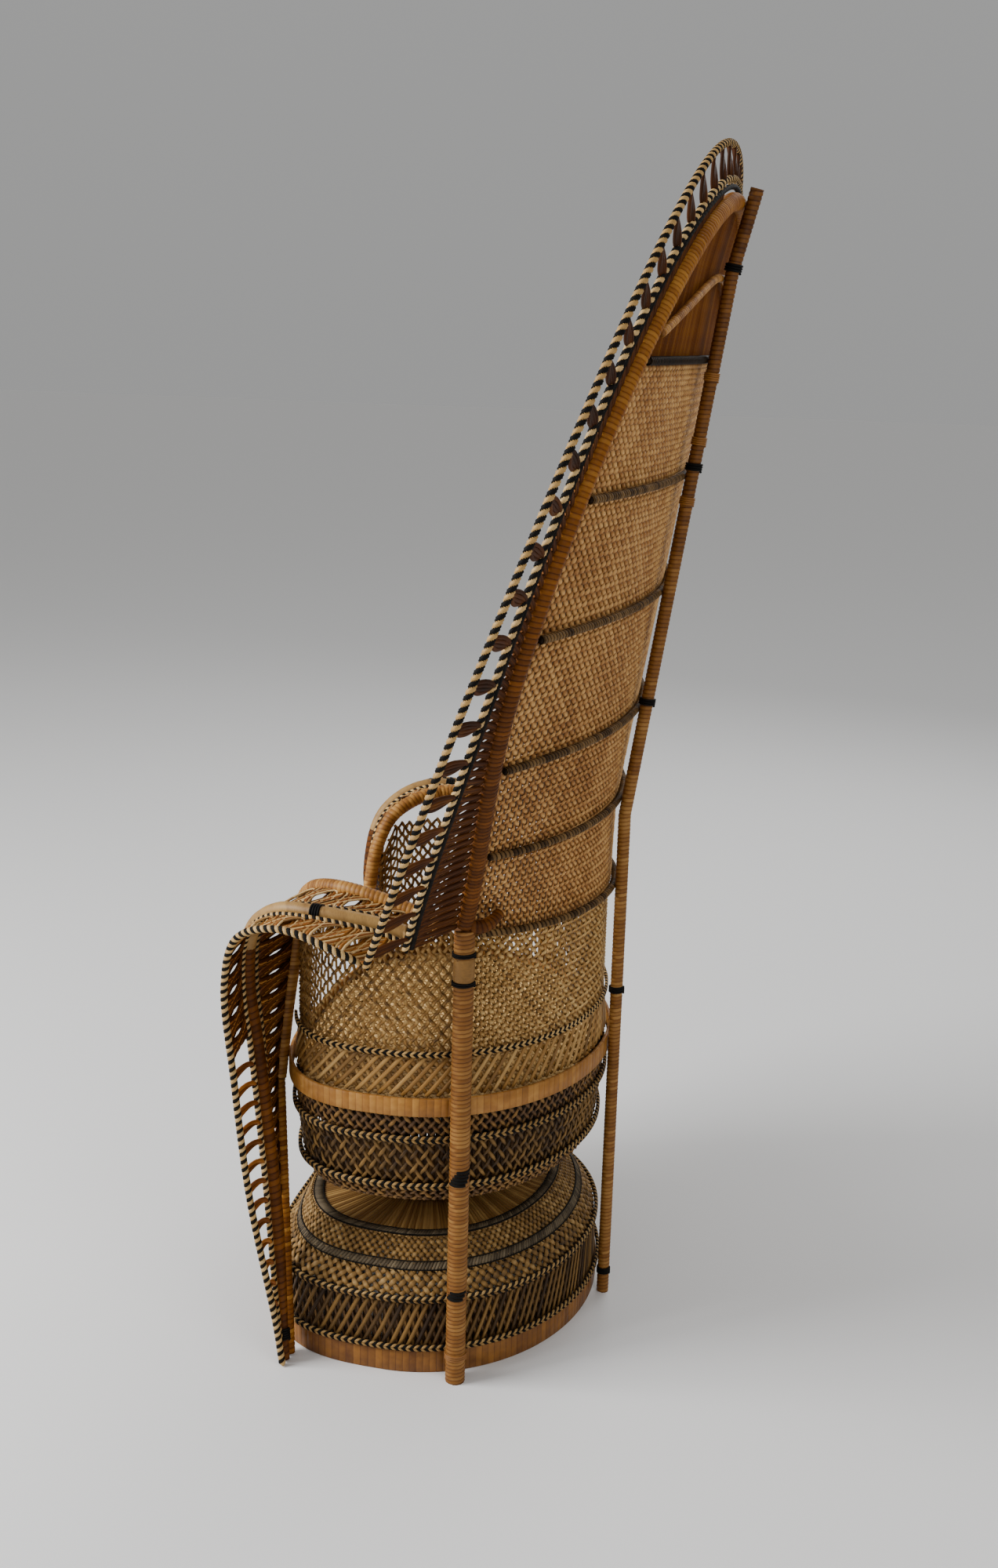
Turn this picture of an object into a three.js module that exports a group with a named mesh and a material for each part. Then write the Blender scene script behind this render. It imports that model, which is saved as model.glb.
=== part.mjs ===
// Woven rattan peacock chair, in millimetres with +Z up.
// The chair faces -Y and +X is the sitter's left.
// Each woven skin is one thin solid here; its strands are left to the look of the part.

import * as THREE from 'three';

// Clearances between pieces that lie against each other.
const GAP = 0.4;
const CURVE_GAP = 0.8;
const RIB_GAP = 2.5;
const POST_RIM_GAP = 2.6;
const SHELL_EDGE_GAP = 2.4;
const SEAM = 0.8;

// Outline of the seat: an oval behind, squarer in front. The lower drum reaches further forward.
const HALF_WIDTH = 272;
const REAR_DEPTH = 236;
const FRONT_DEPTH = 172;
const FRONT_SQUARENESS = 3;
const DRUM_FORWARD = 28;
const SHOULDER_FORWARD = 46;

// Heights of the base, from the floor.
const FOOT_BAND_TOP = 32;
const LOW_BRAID_Z = 38;
const DRUM_BRAID_Z = 107;
const SHOULDER_LOW_Z = 134;
const SHOULDER_HIGH_Z = 167;
const NECK_FOOT_Z = 180;
const NECK_HEAD_Z = 238;
const UPPER_EDGE_Z = 246;
const UPPER_BRAID_LOW_Z = 270;
const UPPER_BRAID_HIGH_Z = 340;
const RIM_BOTTOM = 375;
const RIM_TOP = 400;

// How far skins and bands of the base stand in from the outline, and their walls.
const SKIN_INSET = 3;
const DRUM_BRAID_INSET = 8;
const SHOULDER_LOW_INSET = 26;
const SHOULDER_HIGH_INSET = 58;
const NECK_INSET = 140;
const UPPER_EDGE_INSET = 20;
const UPPER_LOW_INSET = 12;
const UPPER_HIGH_INSET = 5;
const RIM_OVERHANG = 7;
const SKIN_WALL = 4;
const BAND_WALL = 10;
const NECK_WALL = 6;
const RIM_WALL = 14;
const GREY_BAND_WALL = 2;
const BRAID_RADIUS = 4.5;
const SEAT_THICKNESS = 10;
const SEAT_DROP = 5;

// Grey bands on the lower drum, as shares of the slope that each lies on.
const GREY_OUTER = { from: 0.04, to: 0.34 };
const GREY_INNER = { from: 0.04, to: 0.22 };

// Poles, cords and ties.
const SPINE_RADIUS = 8.5;
const SPINE_BEND_Z = 720;
const SPINE_KNEE = { drop: 79, forward: 20 };
const SPINE_HEAD = { rise: 16, back: 4 };
const SIDE_POST_RADIUS = 13;
const SIDE_POST_TOP = 632;
const SIDE_POST_BACK = 101;
const POST_TIE_DROPS = [70, 32];
const FRAME_RADIUS = 11;
const DARK_POLE_RADIUS = 3.5;
const ARM_INNER_RADIUS = 10;
const ARM_MID_RADIUS = 10;
const ARM_FOOT_RADIUS = 6;
const ARM_TAPER_TOP = 200;
const FRONT_LEG_RADIUS = 8;
const FOOT_LIFT = 3;
const LEG_TOP_GAP = 3.4;
const LEG_BRAID_GAP = 7;
const POST_DROP = 13.5;
const CORD_RADIUS = 5;
const SCROLL_HALF = 2.5;
const TIE_WALL = 2.5;
const TIE_HEIGHT = 14;

// Woven shell behind and beside the seat, and its ribs.
const SHELL_WALL = 4;
const SHELL_INSET = 9;
const WALL_TOP = 617;
const WALL_RIB_Z = 457;
const RIB_RADIUS = 4;
const RIB_REACH = 0.95;
const INNER_ARCH_DROP = 75;
const FAN_FOOT_TOP = 700;
const FAN_BOW_START = 640;
const FAN_BOW_END = 900;
const FAN_EDGE_RISE = 24;
const OPENINGS_ACROSS = 12;
const OPENING_ROWS = 9;
const OPENING_LEAST = 12;
const LEAST_SLOPE = 0.75;

// Fan frame: an arch that leans back, and a border of cords and scrolls round it.
const FRAME_HALF_WIDTH = 420;
const FRAME_WIDEST_Z = 985;
const FRAME_TOP_Z = 1500;
const FRAME_BACK = 353;
const FRAME_FOOT_RISE = 5;
const FRAME_FLARE = { out: 30, up: 124 };
const FRAME_BOW = -0.2;
const BORDER_SIDE = 90;
const BORDER_TOP = 66;
const BORDER_FORWARD = 7;
const BORDER_WIDEST_RISE = 15;
const BORDER_FLARE = { out: 80, up: 130 };
const BORDER_BOW = 0.3;
const FAN_SCROLL_WIDTH = { foot: 54, top: 40, spread: 1.4 };
const FAN_SCROLL_PITCH = 47;
const INFILL_LEAST = 3;

// Ribs a to f, the slim arch and the frame's top divide the shell's height above the wall in these parts.
const RIB_PARTS = { a: 0, b: 123, c: 125, d: 157, e: 149, f: 144, arch: 97, frame: 88 };
const RIB_NAMES = ['a', 'b', 'c', 'd', 'e', 'f'];

// Places round the outline where the front leg and the arm post stand, in radians.
const LEG_ANGLE = -0.46;
const ARM_POST_ANGLE = -1.06;
const WALL_END_TURN = 0.05;
const RIB_END_TURN = 0.12;
const POST_BEND_CLEAR = 40;
const ARM_SCROLL_PITCH = 36;

// Arm lines: points from the arm post and above the seat, then from the side post and its top.
const ARM_INNER = {
  front: [[-10, 8, 60], [-14, 17, 130], [-9, 27, 190], [13, 48, 235], [64, 110, 261]],
  rear: [[-12, -71, 12], [-7, -27, -4]],
};
const ARM_MID = {
  front: [
    [79, 21, -170], [72, -4, 40], [76, -13, 123], [95, 2, 206], [121, 48, 245], [135, 106, 251],
  ],
  rear: [[38, -93, 8], [37, -63, 1]],
};
const ARM_OUTER = {
  front: [
    [118, 37, -338], [128, 6, -151], [138, -9, 18], [149, -15, 149], [164, 8, 218],
    [188, 73, 245], [196, 150, 227],
  ],
  rear: [[94, -107, -20]],
};
const BORDER_FOOT = [94, -97, -26];

// Facets.
const OUTLINE_STEPS = 28;
const CORD_SIDES = 6;
const POLE_SIDES = 8;
const POST_SIDES = 12;
const CURVE_SAMPLES = 12;
const ARCH_STEPS = 36;
const FAN_COLUMNS = 2 * OPENINGS_ACROSS + 1;
const FAN_ROWS = 2 * OPENING_ROWS + 1;
const RIB_STEPS = 28;
const WALL_COLUMNS = 16;
const SIDE_COLUMNS = 12;
const RING_STEPS = 32;
const ARM_STEPS = 24;
const ARM_CORD_START = 6;
const POST_STEPS = 16;

const PEEL = new THREE.MeshStandardMaterial({ color: 0xb98a4e, roughness: 0.55, metalness: 0 });
const WEAVE = new THREE.MeshStandardMaterial({ color: 0xa9814f, roughness: 0.7, metalness: 0 });
const DARK = new THREE.MeshStandardMaterial({ color: 0x4a2c1c, roughness: 0.6, metalness: 0 });
const BRAID = new THREE.MeshStandardMaterial({ color: 0x6b5a45, roughness: 0.65, metalness: 0 });
const GREY = new THREE.MeshStandardMaterial({ color: 0x4b423b, roughness: 0.7, metalness: 0 });

const group = new THREE.Group();
const lerp = THREE.MathUtils.lerp;
const smooth = THREE.MathUtils.smoothstep;
const vec = (x, y, z) => new THREE.Vector3(x, y, z);
const mirrored = (p) => vec(-p.x, p.y, p.z);
const moved = (p, [x, y, z]) => vec(p.x + x, p.y + y, p.z + z);
const between = (a, b) => new THREE.Vector3().subVectors(b, a);

function add(name, geometry, material) {
  const mesh = new THREE.Mesh(geometry, material);
  mesh.name = name;
  group.add(mesh);
}

// Closed mesh of points and triangles, turned so that its faces look outward.
function closedMesh(points, index) {
  let volume = 0;
  for (let i = 0; i < index.length; i += 3) {
    const [a, b, c] = [points[index[i]], points[index[i + 1]], points[index[i + 2]]];
    volume += a.dot(new THREE.Vector3().crossVectors(b, c));
  }
  if (volume < 0) {
    index.reverse();
  }
  const numbers = points.flatMap((p) => p.toArray());
  const geometry = new THREE.BufferGeometry();
  geometry.setAttribute('position', new THREE.Float32BufferAttribute(numbers, 3));
  geometry.setIndex(index);
  return geometry;
}

// Closed solid through rings of points; open ends are capped by strips across the ring.
function solid(rings, wrap = false) {
  const n = rings[0].length;
  const m = rings.length;
  const index = [];
  for (let i = 0; i < (wrap ? m : m - 1); i += 1) {
    const a = i * n;
    const b = ((i + 1) % m) * n;
    for (let j = 0; j < n; j += 1) {
      const k = (j + 1) % n;
      index.push(a + j, b + j, b + k, a + j, b + k, a + k);
    }
  }
  if (!wrap) {
    const e = (m - 1) * n;
    for (let j = 0; j < n / 2 - 1; j += 1) {
      const p = n - 2 - j;
      const q = n - 1 - j;
      index.push(j, j + 1, p, j, p, q);
      index.push(e + j, e + p, e + j + 1, e + j, e + q, e + p);
    }
  }
  return closedMesh(rings.flat(), index);
}

// Directions along a polyline, averaged at its corners.
function tangents(points) {
  return points.map((p, i) => {
    const next = points[Math.min(i + 1, points.length - 1)];
    const last = points[Math.max(i - 1, 0)];
    return between(last, next).normalize();
  });
}

// Round pole along a polyline; the radius is a number or one number per point.
// A corner of its section looks the way that facing gives for each point, if it is given.
function pole(points, radius, sides, facing) {
  const along = tangents(points);
  const upright = Math.abs(along[0].z) > 0.99;
  const side = upright ? vec(1, 0, 0) : vec(0, 0, 1).cross(along[0]);
  const rings = points.map((p, i) => {
    if (facing) {
      side.copy(facing[i]);
    }
    side.addScaledVector(along[i], -side.dot(along[i])).normalize();
    const up = new THREE.Vector3().crossVectors(along[i], side);
    const r = Array.isArray(radius) ? radius[i] : radius;
    return Array.from({ length: sides }, (_, j) => {
      const angle = (2 * Math.PI * j) / sides;
      const offset = side.clone().multiplyScalar(r * Math.cos(angle));
      return offset.addScaledVector(up, r * Math.sin(angle)).add(p);
    });
  });
  return solid(rings);
}

// Evenly spaced points on a smooth curve through the given ones.
function curvePoints(points, count) {
  return new THREE.CatmullRomCurve3(points, false, 'centripetal').getSpacedPoints(count);
}

// Thin sheet from columns of points, thickened both ways along the given normals.
function sheet(columns, normals, wall) {
  const rings = columns.map((column, i) => {
    const out = column.map((p, j) => p.clone().addScaledVector(normals[i][j], wall / 2));
    const back = column.map((p, j) => p.clone().addScaledVector(normals[i][j], -wall / 2));
    return [...out, ...back.reverse()];
  });
  return solid(rings);
}

// Thin sheet as above with openings: cell (i, j) lies between columns i, i + 1 and rows j, j + 1.
function lattice(columns, normals, wall, isOpen) {
  const rows = columns[0].length;
  const face = (reach) => columns.flatMap((column, i) => (
    column.map((p, j) => p.clone().addScaledVector(normals[i][j], reach))
  ));
  const points = [...face(wall / 2), ...face(-wall / 2)];
  const back = columns.length * rows;
  const inGrid = (i, j) => i >= 0 && j >= 0 && i < columns.length - 1 && j < rows - 1;
  const isSolid = (i, j) => inGrid(i, j) && !isOpen(i, j);
  const index = [];
  const quad = (a, b, c, d) => index.push(a, b, c, a, c, d);
  for (let i = 0; i < columns.length - 1; i += 1) {
    for (let j = 0; j < rows - 1; j += 1) {
      if (isSolid(i, j)) {
        const a = i * rows + j;
        const b = a + rows;
        const [c, d] = [b + 1, a + 1];
        quad(a, b, c, d);
        quad(back + d, back + c, back + b, back + a);
        const edges = [[a, b, i, j - 1], [b, c, i + 1, j], [c, d, i, j + 1], [d, a, i - 1, j]];
        for (const [p, q, nextI, nextJ] of edges) {
          if (!isSolid(nextI, nextJ)) {
            quad(q, p, back + p, back + q);
          }
        }
      }
    }
  }
  return closedMesh(points, index);
}

// Point of the outline at an angle, moved inward by an inset; its front may reach further forward.
function outline(angle, inset, z, forward = 0) {
  const c = Math.cos(angle);
  const s = Math.sin(angle);
  const power = s < 0 ? 2 / FRONT_SQUARENESS : 1;
  const depth = (s < 0 ? FRONT_DEPTH + forward : REAR_DEPTH) - inset;
  const x = (HALF_WIDTH - inset) * Math.sign(c) * Math.abs(c) ** power;
  const y = depth * Math.sign(s) * Math.abs(s) ** power;
  return vec(x, y, z);
}

// Ring round the outline whose section is a list of insets, heights and forward reaches.
function outlineRing(section) {
  const rings = Array.from({ length: OUTLINE_STEPS }, (_, i) => {
    const angle = (2 * Math.PI * i) / OUTLINE_STEPS;
    return section.map(([inset, z, forward]) => outline(angle, inset, z, forward));
  });
  return solid(rings, true);
}

// Section line moved inward by a distance, square to itself.
function movedIn(line, distance) {
  return line.map(([inset, z, forward], i) => {
    const last = line[Math.max(i - 1, 0)];
    const next = line[Math.min(i + 1, line.length - 1)];
    const way = new THREE.Vector2(next[0] - last[0], next[1] - last[1]).normalize();
    return [inset + distance * way.y, z - distance * way.x, forward];
  });
}
const skinSection = (line, wall) => [...line, ...movedIn(line, wall).reverse()];

// Base: foot band, lower drum with its top, neck, and upper drum with its floor.
const lowerProfile = [
  [SKIN_INSET, FOOT_BAND_TOP + GAP, DRUM_FORWARD],
  [DRUM_BRAID_INSET, DRUM_BRAID_Z, DRUM_FORWARD],
  [SHOULDER_LOW_INSET, SHOULDER_LOW_Z, DRUM_FORWARD],
];
const topProfile = [
  [SHOULDER_LOW_INSET + SEAM, SHOULDER_LOW_Z + SEAM, DRUM_FORWARD],
  [SHOULDER_HIGH_INSET, SHOULDER_HIGH_Z, SHOULDER_FORWARD],
  [NECK_INSET, NECK_FOOT_Z, DRUM_FORWARD],
  [NECK_INSET + NECK_WALL, NECK_FOOT_Z, DRUM_FORWARD],
];
const neckProfile = [
  [NECK_INSET, NECK_FOOT_Z + GAP, DRUM_FORWARD],
  [NECK_INSET, NECK_HEAD_Z - GAP, DRUM_FORWARD],
];
const floorProfile = [
  [NECK_INSET + NECK_WALL, NECK_HEAD_Z, DRUM_FORWARD],
  [NECK_INSET, NECK_HEAD_Z, DRUM_FORWARD],
  [UPPER_EDGE_INSET + SKIN_WALL + GAP, UPPER_EDGE_Z, 0],
];
const upperProfile = [
  [UPPER_EDGE_INSET, UPPER_EDGE_Z, 0],
  [UPPER_LOW_INSET, UPPER_BRAID_LOW_Z, 0],
  [UPPER_HIGH_INSET, UPPER_BRAID_HIGH_Z, 0],
  [SKIN_INSET, RIM_BOTTOM - GAP, 0],
];
function braidRing(skinInset, z, forward) {
  const section = Array.from({ length: CORD_SIDES }, (_, j) => {
    const angle = (2 * Math.PI * j) / CORD_SIDES;
    const inset = skinInset - CURVE_GAP - BRAID_RADIUS * (1 - Math.cos(angle));
    return [inset, z + BRAID_RADIUS * Math.sin(angle), forward];
  });
  return outlineRing(section);
}
function greyBand(from, to, share) {
  const line = [share.from, share.to].map((s) => from.map((v, i) => lerp(v, to[i], s)));
  return outlineRing(skinSection(movedIn(line, -GAP - GREY_BAND_WALL), GREY_BAND_WALL));
}
const footLine = [[0, 0, DRUM_FORWARD], [0, FOOT_BAND_TOP, DRUM_FORWARD]];
add('base_foot_band', outlineRing(skinSection(footLine, BAND_WALL)), PEEL);
add('base_lower_drum', outlineRing(skinSection(lowerProfile, SKIN_WALL)), WEAVE);
add('base_lower_top', outlineRing(skinSection(topProfile, SKIN_WALL)), WEAVE);
add('base_braid_low', braidRing(SKIN_INSET, LOW_BRAID_Z, DRUM_FORWARD), BRAID);
add('base_braid_mid', braidRing(DRUM_BRAID_INSET, DRUM_BRAID_Z, DRUM_FORWARD), BRAID);
add('base_grey_band_outer', greyBand(topProfile[0], topProfile[1], GREY_OUTER), GREY);
add('base_grey_band_inner', greyBand(topProfile[1], topProfile[2], GREY_INNER), GREY);
add('base_neck', outlineRing(skinSection(neckProfile, NECK_WALL)), DARK);
add('base_upper_floor', outlineRing(skinSection(floorProfile, SKIN_WALL)), WEAVE);
add('base_upper_drum', outlineRing(skinSection(upperProfile, SKIN_WALL)), WEAVE);
add('base_upper_braid_low', braidRing(UPPER_LOW_INSET, UPPER_BRAID_LOW_Z, 0), BRAID);
add('base_upper_braid_high', braidRing(UPPER_HIGH_INSET, UPPER_BRAID_HIGH_Z, 0), BRAID);

// Seat: a rim band with a woven panel inside it.
const rimLine = [[-RIM_OVERHANG, RIM_BOTTOM], [-RIM_OVERHANG, RIM_TOP]];
add('seat_rim_band', outlineRing(skinSection(rimLine, RIM_WALL)), PEEL);
const seatInset = RIM_WALL - RIM_OVERHANG + GAP;
const seatTop = RIM_TOP - SEAT_DROP;
const seatRings = [seatTop - SEAT_THICKNESS, seatTop].map((z) => (
  Array.from({ length: OUTLINE_STEPS }, (_, i) => (
    outline((2 * Math.PI * i) / OUTLINE_STEPS, seatInset, z)
  ))
));
add('seat_panel', solid(seatRings), WEAVE);

// Side posts stand against the seat rim, and the fan frame stands on them.
const rimAtPost = Math.sqrt(1 - (SIDE_POST_BACK / (REAR_DEPTH + RIM_OVERHANG)) ** 2);
const postX = (HALF_WIDTH + RIM_OVERHANG) * rimAtPost + SIDE_POST_RADIUS + CURVE_GAP;
const postHead = vec(postX, SIDE_POST_BACK, SIDE_POST_TOP);

// Spine behind the seat rim, the shell and the head of the frame: depth and height.
const spineBack = REAR_DEPTH + RIM_OVERHANG + SPINE_RADIUS + GAP;
const headBack = FRAME_BACK + FRAME_RADIUS + SPINE_RADIUS + CURVE_GAP;
const spineLine = [
  [spineBack, 0],
  [spineBack, SPINE_BEND_Z],
  [headBack - SPINE_KNEE.forward, FRAME_TOP_Z - SPINE_KNEE.drop],
  [headBack, FRAME_TOP_Z],
  [headBack + SPINE_HEAD.back, FRAME_TOP_Z + SPINE_HEAD.rise],
];
function spineAt(z) {
  let i = 0;
  while (i < spineLine.length - 2 && spineLine[i + 1][1] < z) {
    i += 1;
  }
  const [a, b] = [spineLine[i], spineLine[i + 1]];
  return vec(0, lerp(a[0], b[0], (z - a[1]) / (b[1] - a[1])), z);
}
add('spine_pole', pole(spineLine.map(([y, z]) => vec(0, y, z)), SPINE_RADIUS, POLE_SIDES), PEEL);
const spineToShell = SPINE_RADIUS + 2 * RIB_RADIUS + SHELL_WALL / 2 + RIB_GAP + CURVE_GAP;

// Ring tied round a pole of so many sides.
function tie(centre, along, radius, sides) {
  const side = vec(1, 0, 0);
  const up = new THREE.Vector3().crossVectors(along, side).normalize();
  const inner = radius + GAP;
  const outer = inner + TIE_WALL;
  const half = TIE_HEIGHT / 2;
  const section = [[inner, -half], [inner, half], [outer, half], [outer, -half]];
  const rings = Array.from({ length: sides }, (_, i) => {
    const angle = (2 * Math.PI * i) / sides;
    const out = side.clone().multiplyScalar(Math.cos(angle)).addScaledVector(up, Math.sin(angle));
    return section.map(([r, h]) => (
      centre.clone().addScaledVector(out, r).addScaledVector(along, h)
    ));
  });
  return solid(rings, true);
}
const total = (list) => list.reduce((sum, value) => sum + value, 0);
function ribHeight(name) {
  const parts = Object.values(RIB_PARTS);
  const reached = parts.slice(0, Object.keys(RIB_PARTS).indexOf(name) + 1);
  return lerp(WALL_TOP, FRAME_TOP_Z, total(reached) / total(parts));
}
const tieLift = TIE_HEIGHT / 2 + RIB_RADIUS + CURVE_GAP;
const tieHeights = [WALL_RIB_Z, ribHeight('c'), ribHeight('e'), ribHeight('arch')];
tieHeights.forEach((z, i) => {
  const low = spineAt(z + tieLift - TIE_HEIGHT / 2);
  const high = spineAt(z + tieLift + TIE_HEIGHT / 2);
  const centre = low.clone().lerp(high, 0.5);
  const ring = tie(centre, between(low, high).normalize(), SPINE_RADIUS, POLE_SIDES);
  add(`spine_tie_${i + 1}`, ring, DARK);
});

// Arch of the fan: it flares from its foot to its widest place and closes as half an oval.
function archPath(foot, top, halfWidth, widestZ, flare, bow) {
  const rising = new THREE.CubicBezierCurve(
    new THREE.Vector2(foot.x, foot.z),
    new THREE.Vector2(foot.x + flare.out, foot.z + flare.up),
    new THREE.Vector2(halfWidth, widestZ - flare.up),
    new THREE.Vector2(halfWidth, widestZ),
  ).getPoints(CURVE_SAMPLES);
  const closing = Array.from({ length: CURVE_SAMPLES }, (_, i) => {
    const angle = (Math.PI * (i + 1)) / (2 * CURVE_SAMPLES);
    const x = i + 1 < CURVE_SAMPLES ? halfWidth * Math.cos(angle) : 0;
    return new THREE.Vector2(x, lerp(widestZ, top.z, Math.sin(angle)));
  });
  const left = [...rising, ...closing].map((p) => {
    const share = (p.y - foot.z) / (top.z - foot.z);
    return vec(p.x, lerp(foot.y, top.y, share * (1 + bow * (1 - share))), p.y);
  });
  const right = left.slice(0, -1).map(mirrored).reverse();
  return curvePoints([...left, ...right], ARCH_STEPS);
}
const framePath = archPath(
  moved(postHead, [0, 0, FRAME_FOOT_RISE]),
  vec(0, FRAME_BACK, FRAME_TOP_Z),
  FRAME_HALF_WIDTH,
  FRAME_WIDEST_Z,
  FRAME_FLARE,
  FRAME_BOW,
);
const outerPath = archPath(
  moved(postHead, BORDER_FOOT),
  vec(0, FRAME_BACK - BORDER_FORWARD, FRAME_TOP_Z + BORDER_TOP),
  FRAME_HALF_WIDTH + BORDER_SIDE,
  FRAME_WIDEST_Z + BORDER_WIDEST_RISE,
  BORDER_FLARE,
  BORDER_BOW,
);

// Border lines between the frame and the outer cord.
const across = framePath.map((p, i) => between(p, outerPath[i]));
const reach = across.map((a) => a.length());
const outward = across.map((a) => a.clone().normalize());
const scrollWidth = framePath.map((_, i) => {
  const rise = (2 * Math.min(i, ARCH_STEPS - i)) / ARCH_STEPS;
  const share = Math.min(1, rise * FAN_SCROLL_WIDTH.spread);
  return lerp(FAN_SCROLL_WIDTH.foot, FAN_SCROLL_WIDTH.top, share);
});
const innerCordAt = reach.map((r, i) => r - scrollWidth[i]);
const darkPoleAt = innerCordAt.map((d) => d - CORD_RADIUS - CURVE_GAP - DARK_POLE_RADIUS);
const borderPoint = (i, distance) => framePath[i].clone().addScaledVector(outward[i], distance);
const innerPath = framePath.map((_, i) => borderPoint(i, innerCordAt[i]));
const darkPath = framePath.map((_, i) => borderPoint(i, darkPoleAt[i]));
add('fan_frame_pole', pole(framePath, FRAME_RADIUS, POLE_SIDES), PEEL);
add('fan_outer_cord', pole(outerPath, CORD_RADIUS, CORD_SIDES, outward), BRAID);
add('fan_inner_cord', pole(innerPath, CORD_RADIUS, CORD_SIDES, outward), BRAID);
add('fan_dark_pole', pole(darkPath, DARK_POLE_RADIUS, CORD_SIDES, outward), DARK);

// Strip of square section that turns to and fro between two edges of a band.
function scroll(near, far, nearRadius, farRadius, pitch) {
  const middle = new THREE.CatmullRomCurve3(near.map((p, i) => p.clone().lerp(far[i], 0.5)));
  const steps = 2 * Math.round(middle.getLength() / pitch);
  const clear = CURVE_GAP + SCROLL_HALF;
  const nearWay = tangents(near);
  const farWay = tangents(far);
  const place = Array.from({ length: steps + 1 }, (_, k) => {
    const at = (k / steps) * (near.length - 1);
    const i = Math.min(Math.floor(at), near.length - 2);
    const a = near[i].clone().lerp(near[i + 1], at - i);
    const b = far[i].clone().lerp(far[i + 1], at - i);
    const out = between(a, b);
    const width = out.length();
    out.normalize();
    const nearClear = (nearRadius + clear) / Math.sin(out.angleTo(nearWay[i]));
    const farClear = (farRadius + clear) / Math.sin(out.angleTo(farWay[i]));
    const along = between(near[i], near[i + 1]).add(between(far[i], far[i + 1]));
    const normal = new THREE.Vector3().crossVectors(along, out).normalize();
    const side = new THREE.Vector3().crossVectors(normal, along).normalize();
    const distance = k % 2 ? width - farClear : nearClear;
    return { point: a.addScaledVector(out, distance), normal, side };
  });
  const rings = place.map(({ point, normal, side }) => (
    [[-1, -1], [1, -1], [1, 1], [-1, 1]].map(([s, n]) => (
      point.clone().addScaledVector(side, s * SCROLL_HALF).addScaledVector(normal, n * SCROLL_HALF)
    ))
  ));
  return solid(rings);
}
add('fan_scroll', scroll(innerPath, outerPath, CORD_RADIUS, CORD_RADIUS, FAN_SCROLL_PITCH), DARK);

// Infill between the frame pole and the dark pole, where the two stand apart.
const infillFrom = FRAME_RADIUS + CURVE_GAP;
const infillTo = darkPoleAt.map((d) => d - DARK_POLE_RADIUS - CURVE_GAP);
const frameWay = tangents(framePath);
function infill(mirror) {
  const columns = [];
  const normals = [];
  for (let step = 0; step < ARCH_STEPS / 2 && infillTo[step] - infillFrom > INFILL_LEAST; step += 1) {
    const i = mirror ? ARCH_STEPS - step : step;
    const normal = new THREE.Vector3().crossVectors(frameWay[i], outward[i]).normalize();
    columns.push([borderPoint(i, infillFrom), borderPoint(i, infillTo[i])]);
    normals.push([normal, normal]);
  }
  return sheet(columns, normals, SHELL_WALL);
}
add('fan_infill_left', infill(false), DARK);
add('fan_infill_right', infill(true), DARK);

// Place of the shell's edge at a height, on the left, just inside the frame pole.
const halfFrame = framePath.slice(0, ARCH_STEPS / 2 + 1);
function frameEdge(z) {
  let i = 0;
  while (i < halfFrame.length - 2 && halfFrame[i + 1].z < z) {
    i += 1;
  }
  const [low, high] = [halfFrame[i], halfFrame[i + 1]];
  const share = THREE.MathUtils.clamp((z - low.z) / (high.z - low.z), 0, 1);
  const slope = Math.max(between(low, high).normalize().z, LEAST_SLOPE);
  const edge = low.clone().lerp(high, share);
  edge.x -= (FRAME_RADIUS + SHELL_EDGE_GAP) / slope;
  return edge;
}

// Shell at a share of its half width and a height: an oval low down, a shallow bow above.
const wallBack = REAR_DEPTH - SHELL_INSET;
const wallEdgeAngle = Math.asin(SIDE_POST_BACK / wallBack);
const wallEdge = outline(wallEdgeAngle, SHELL_INSET, 0);
function shellPoint(share, z) {
  const bow = smooth(z, FAN_BOW_START, FAN_BOW_END);
  const flare = smooth(z, WALL_TOP, FAN_FOOT_TOP);
  const oval = outline(lerp(Math.PI / 2, wallEdgeAngle, Math.abs(share)), SHELL_INSET, z);
  const edge = frameEdge(z);
  const spineY = spineAt(z).y - spineToShell;
  const edgeX = lerp(wallEdge.x, edge.x, flare);
  const edgeY = lerp(wallEdge.y, edge.y, flare);
  const ovalX = (oval.x / wallEdge.x) * edgeX;
  const ovalY = lerp(edgeY, spineY, (oval.y - wallEdge.y) / (wallBack - wallEdge.y));
  const bowX = edgeX * Math.abs(share);
  const bowY = lerp(spineY, edgeY, share * share);
  return vec(lerp(ovalX, bowX, bow) * Math.sign(share), lerp(ovalY, bowY, bow), z);
}
function shellNormal(share, z) {
  const step = 1 / FAN_COLUMNS / 2;
  const flat = between(shellPoint(Math.max(-1, share - step), z), shellPoint(Math.min(1, share + step), z));
  return vec(-flat.y, flat.x, 0).normalize();
}

// Share of the half width at which the shell reaches a distance from the middle.
function shareAt(x, z) {
  let low = 0;
  let high = 1;
  while (high - low > 1e-6) {
    const mid = (low + high) / 2;
    if (shellPoint(mid, z).x < x) {
      low = mid;
    } else {
      high = mid;
    }
  }
  return low;
}

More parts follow.
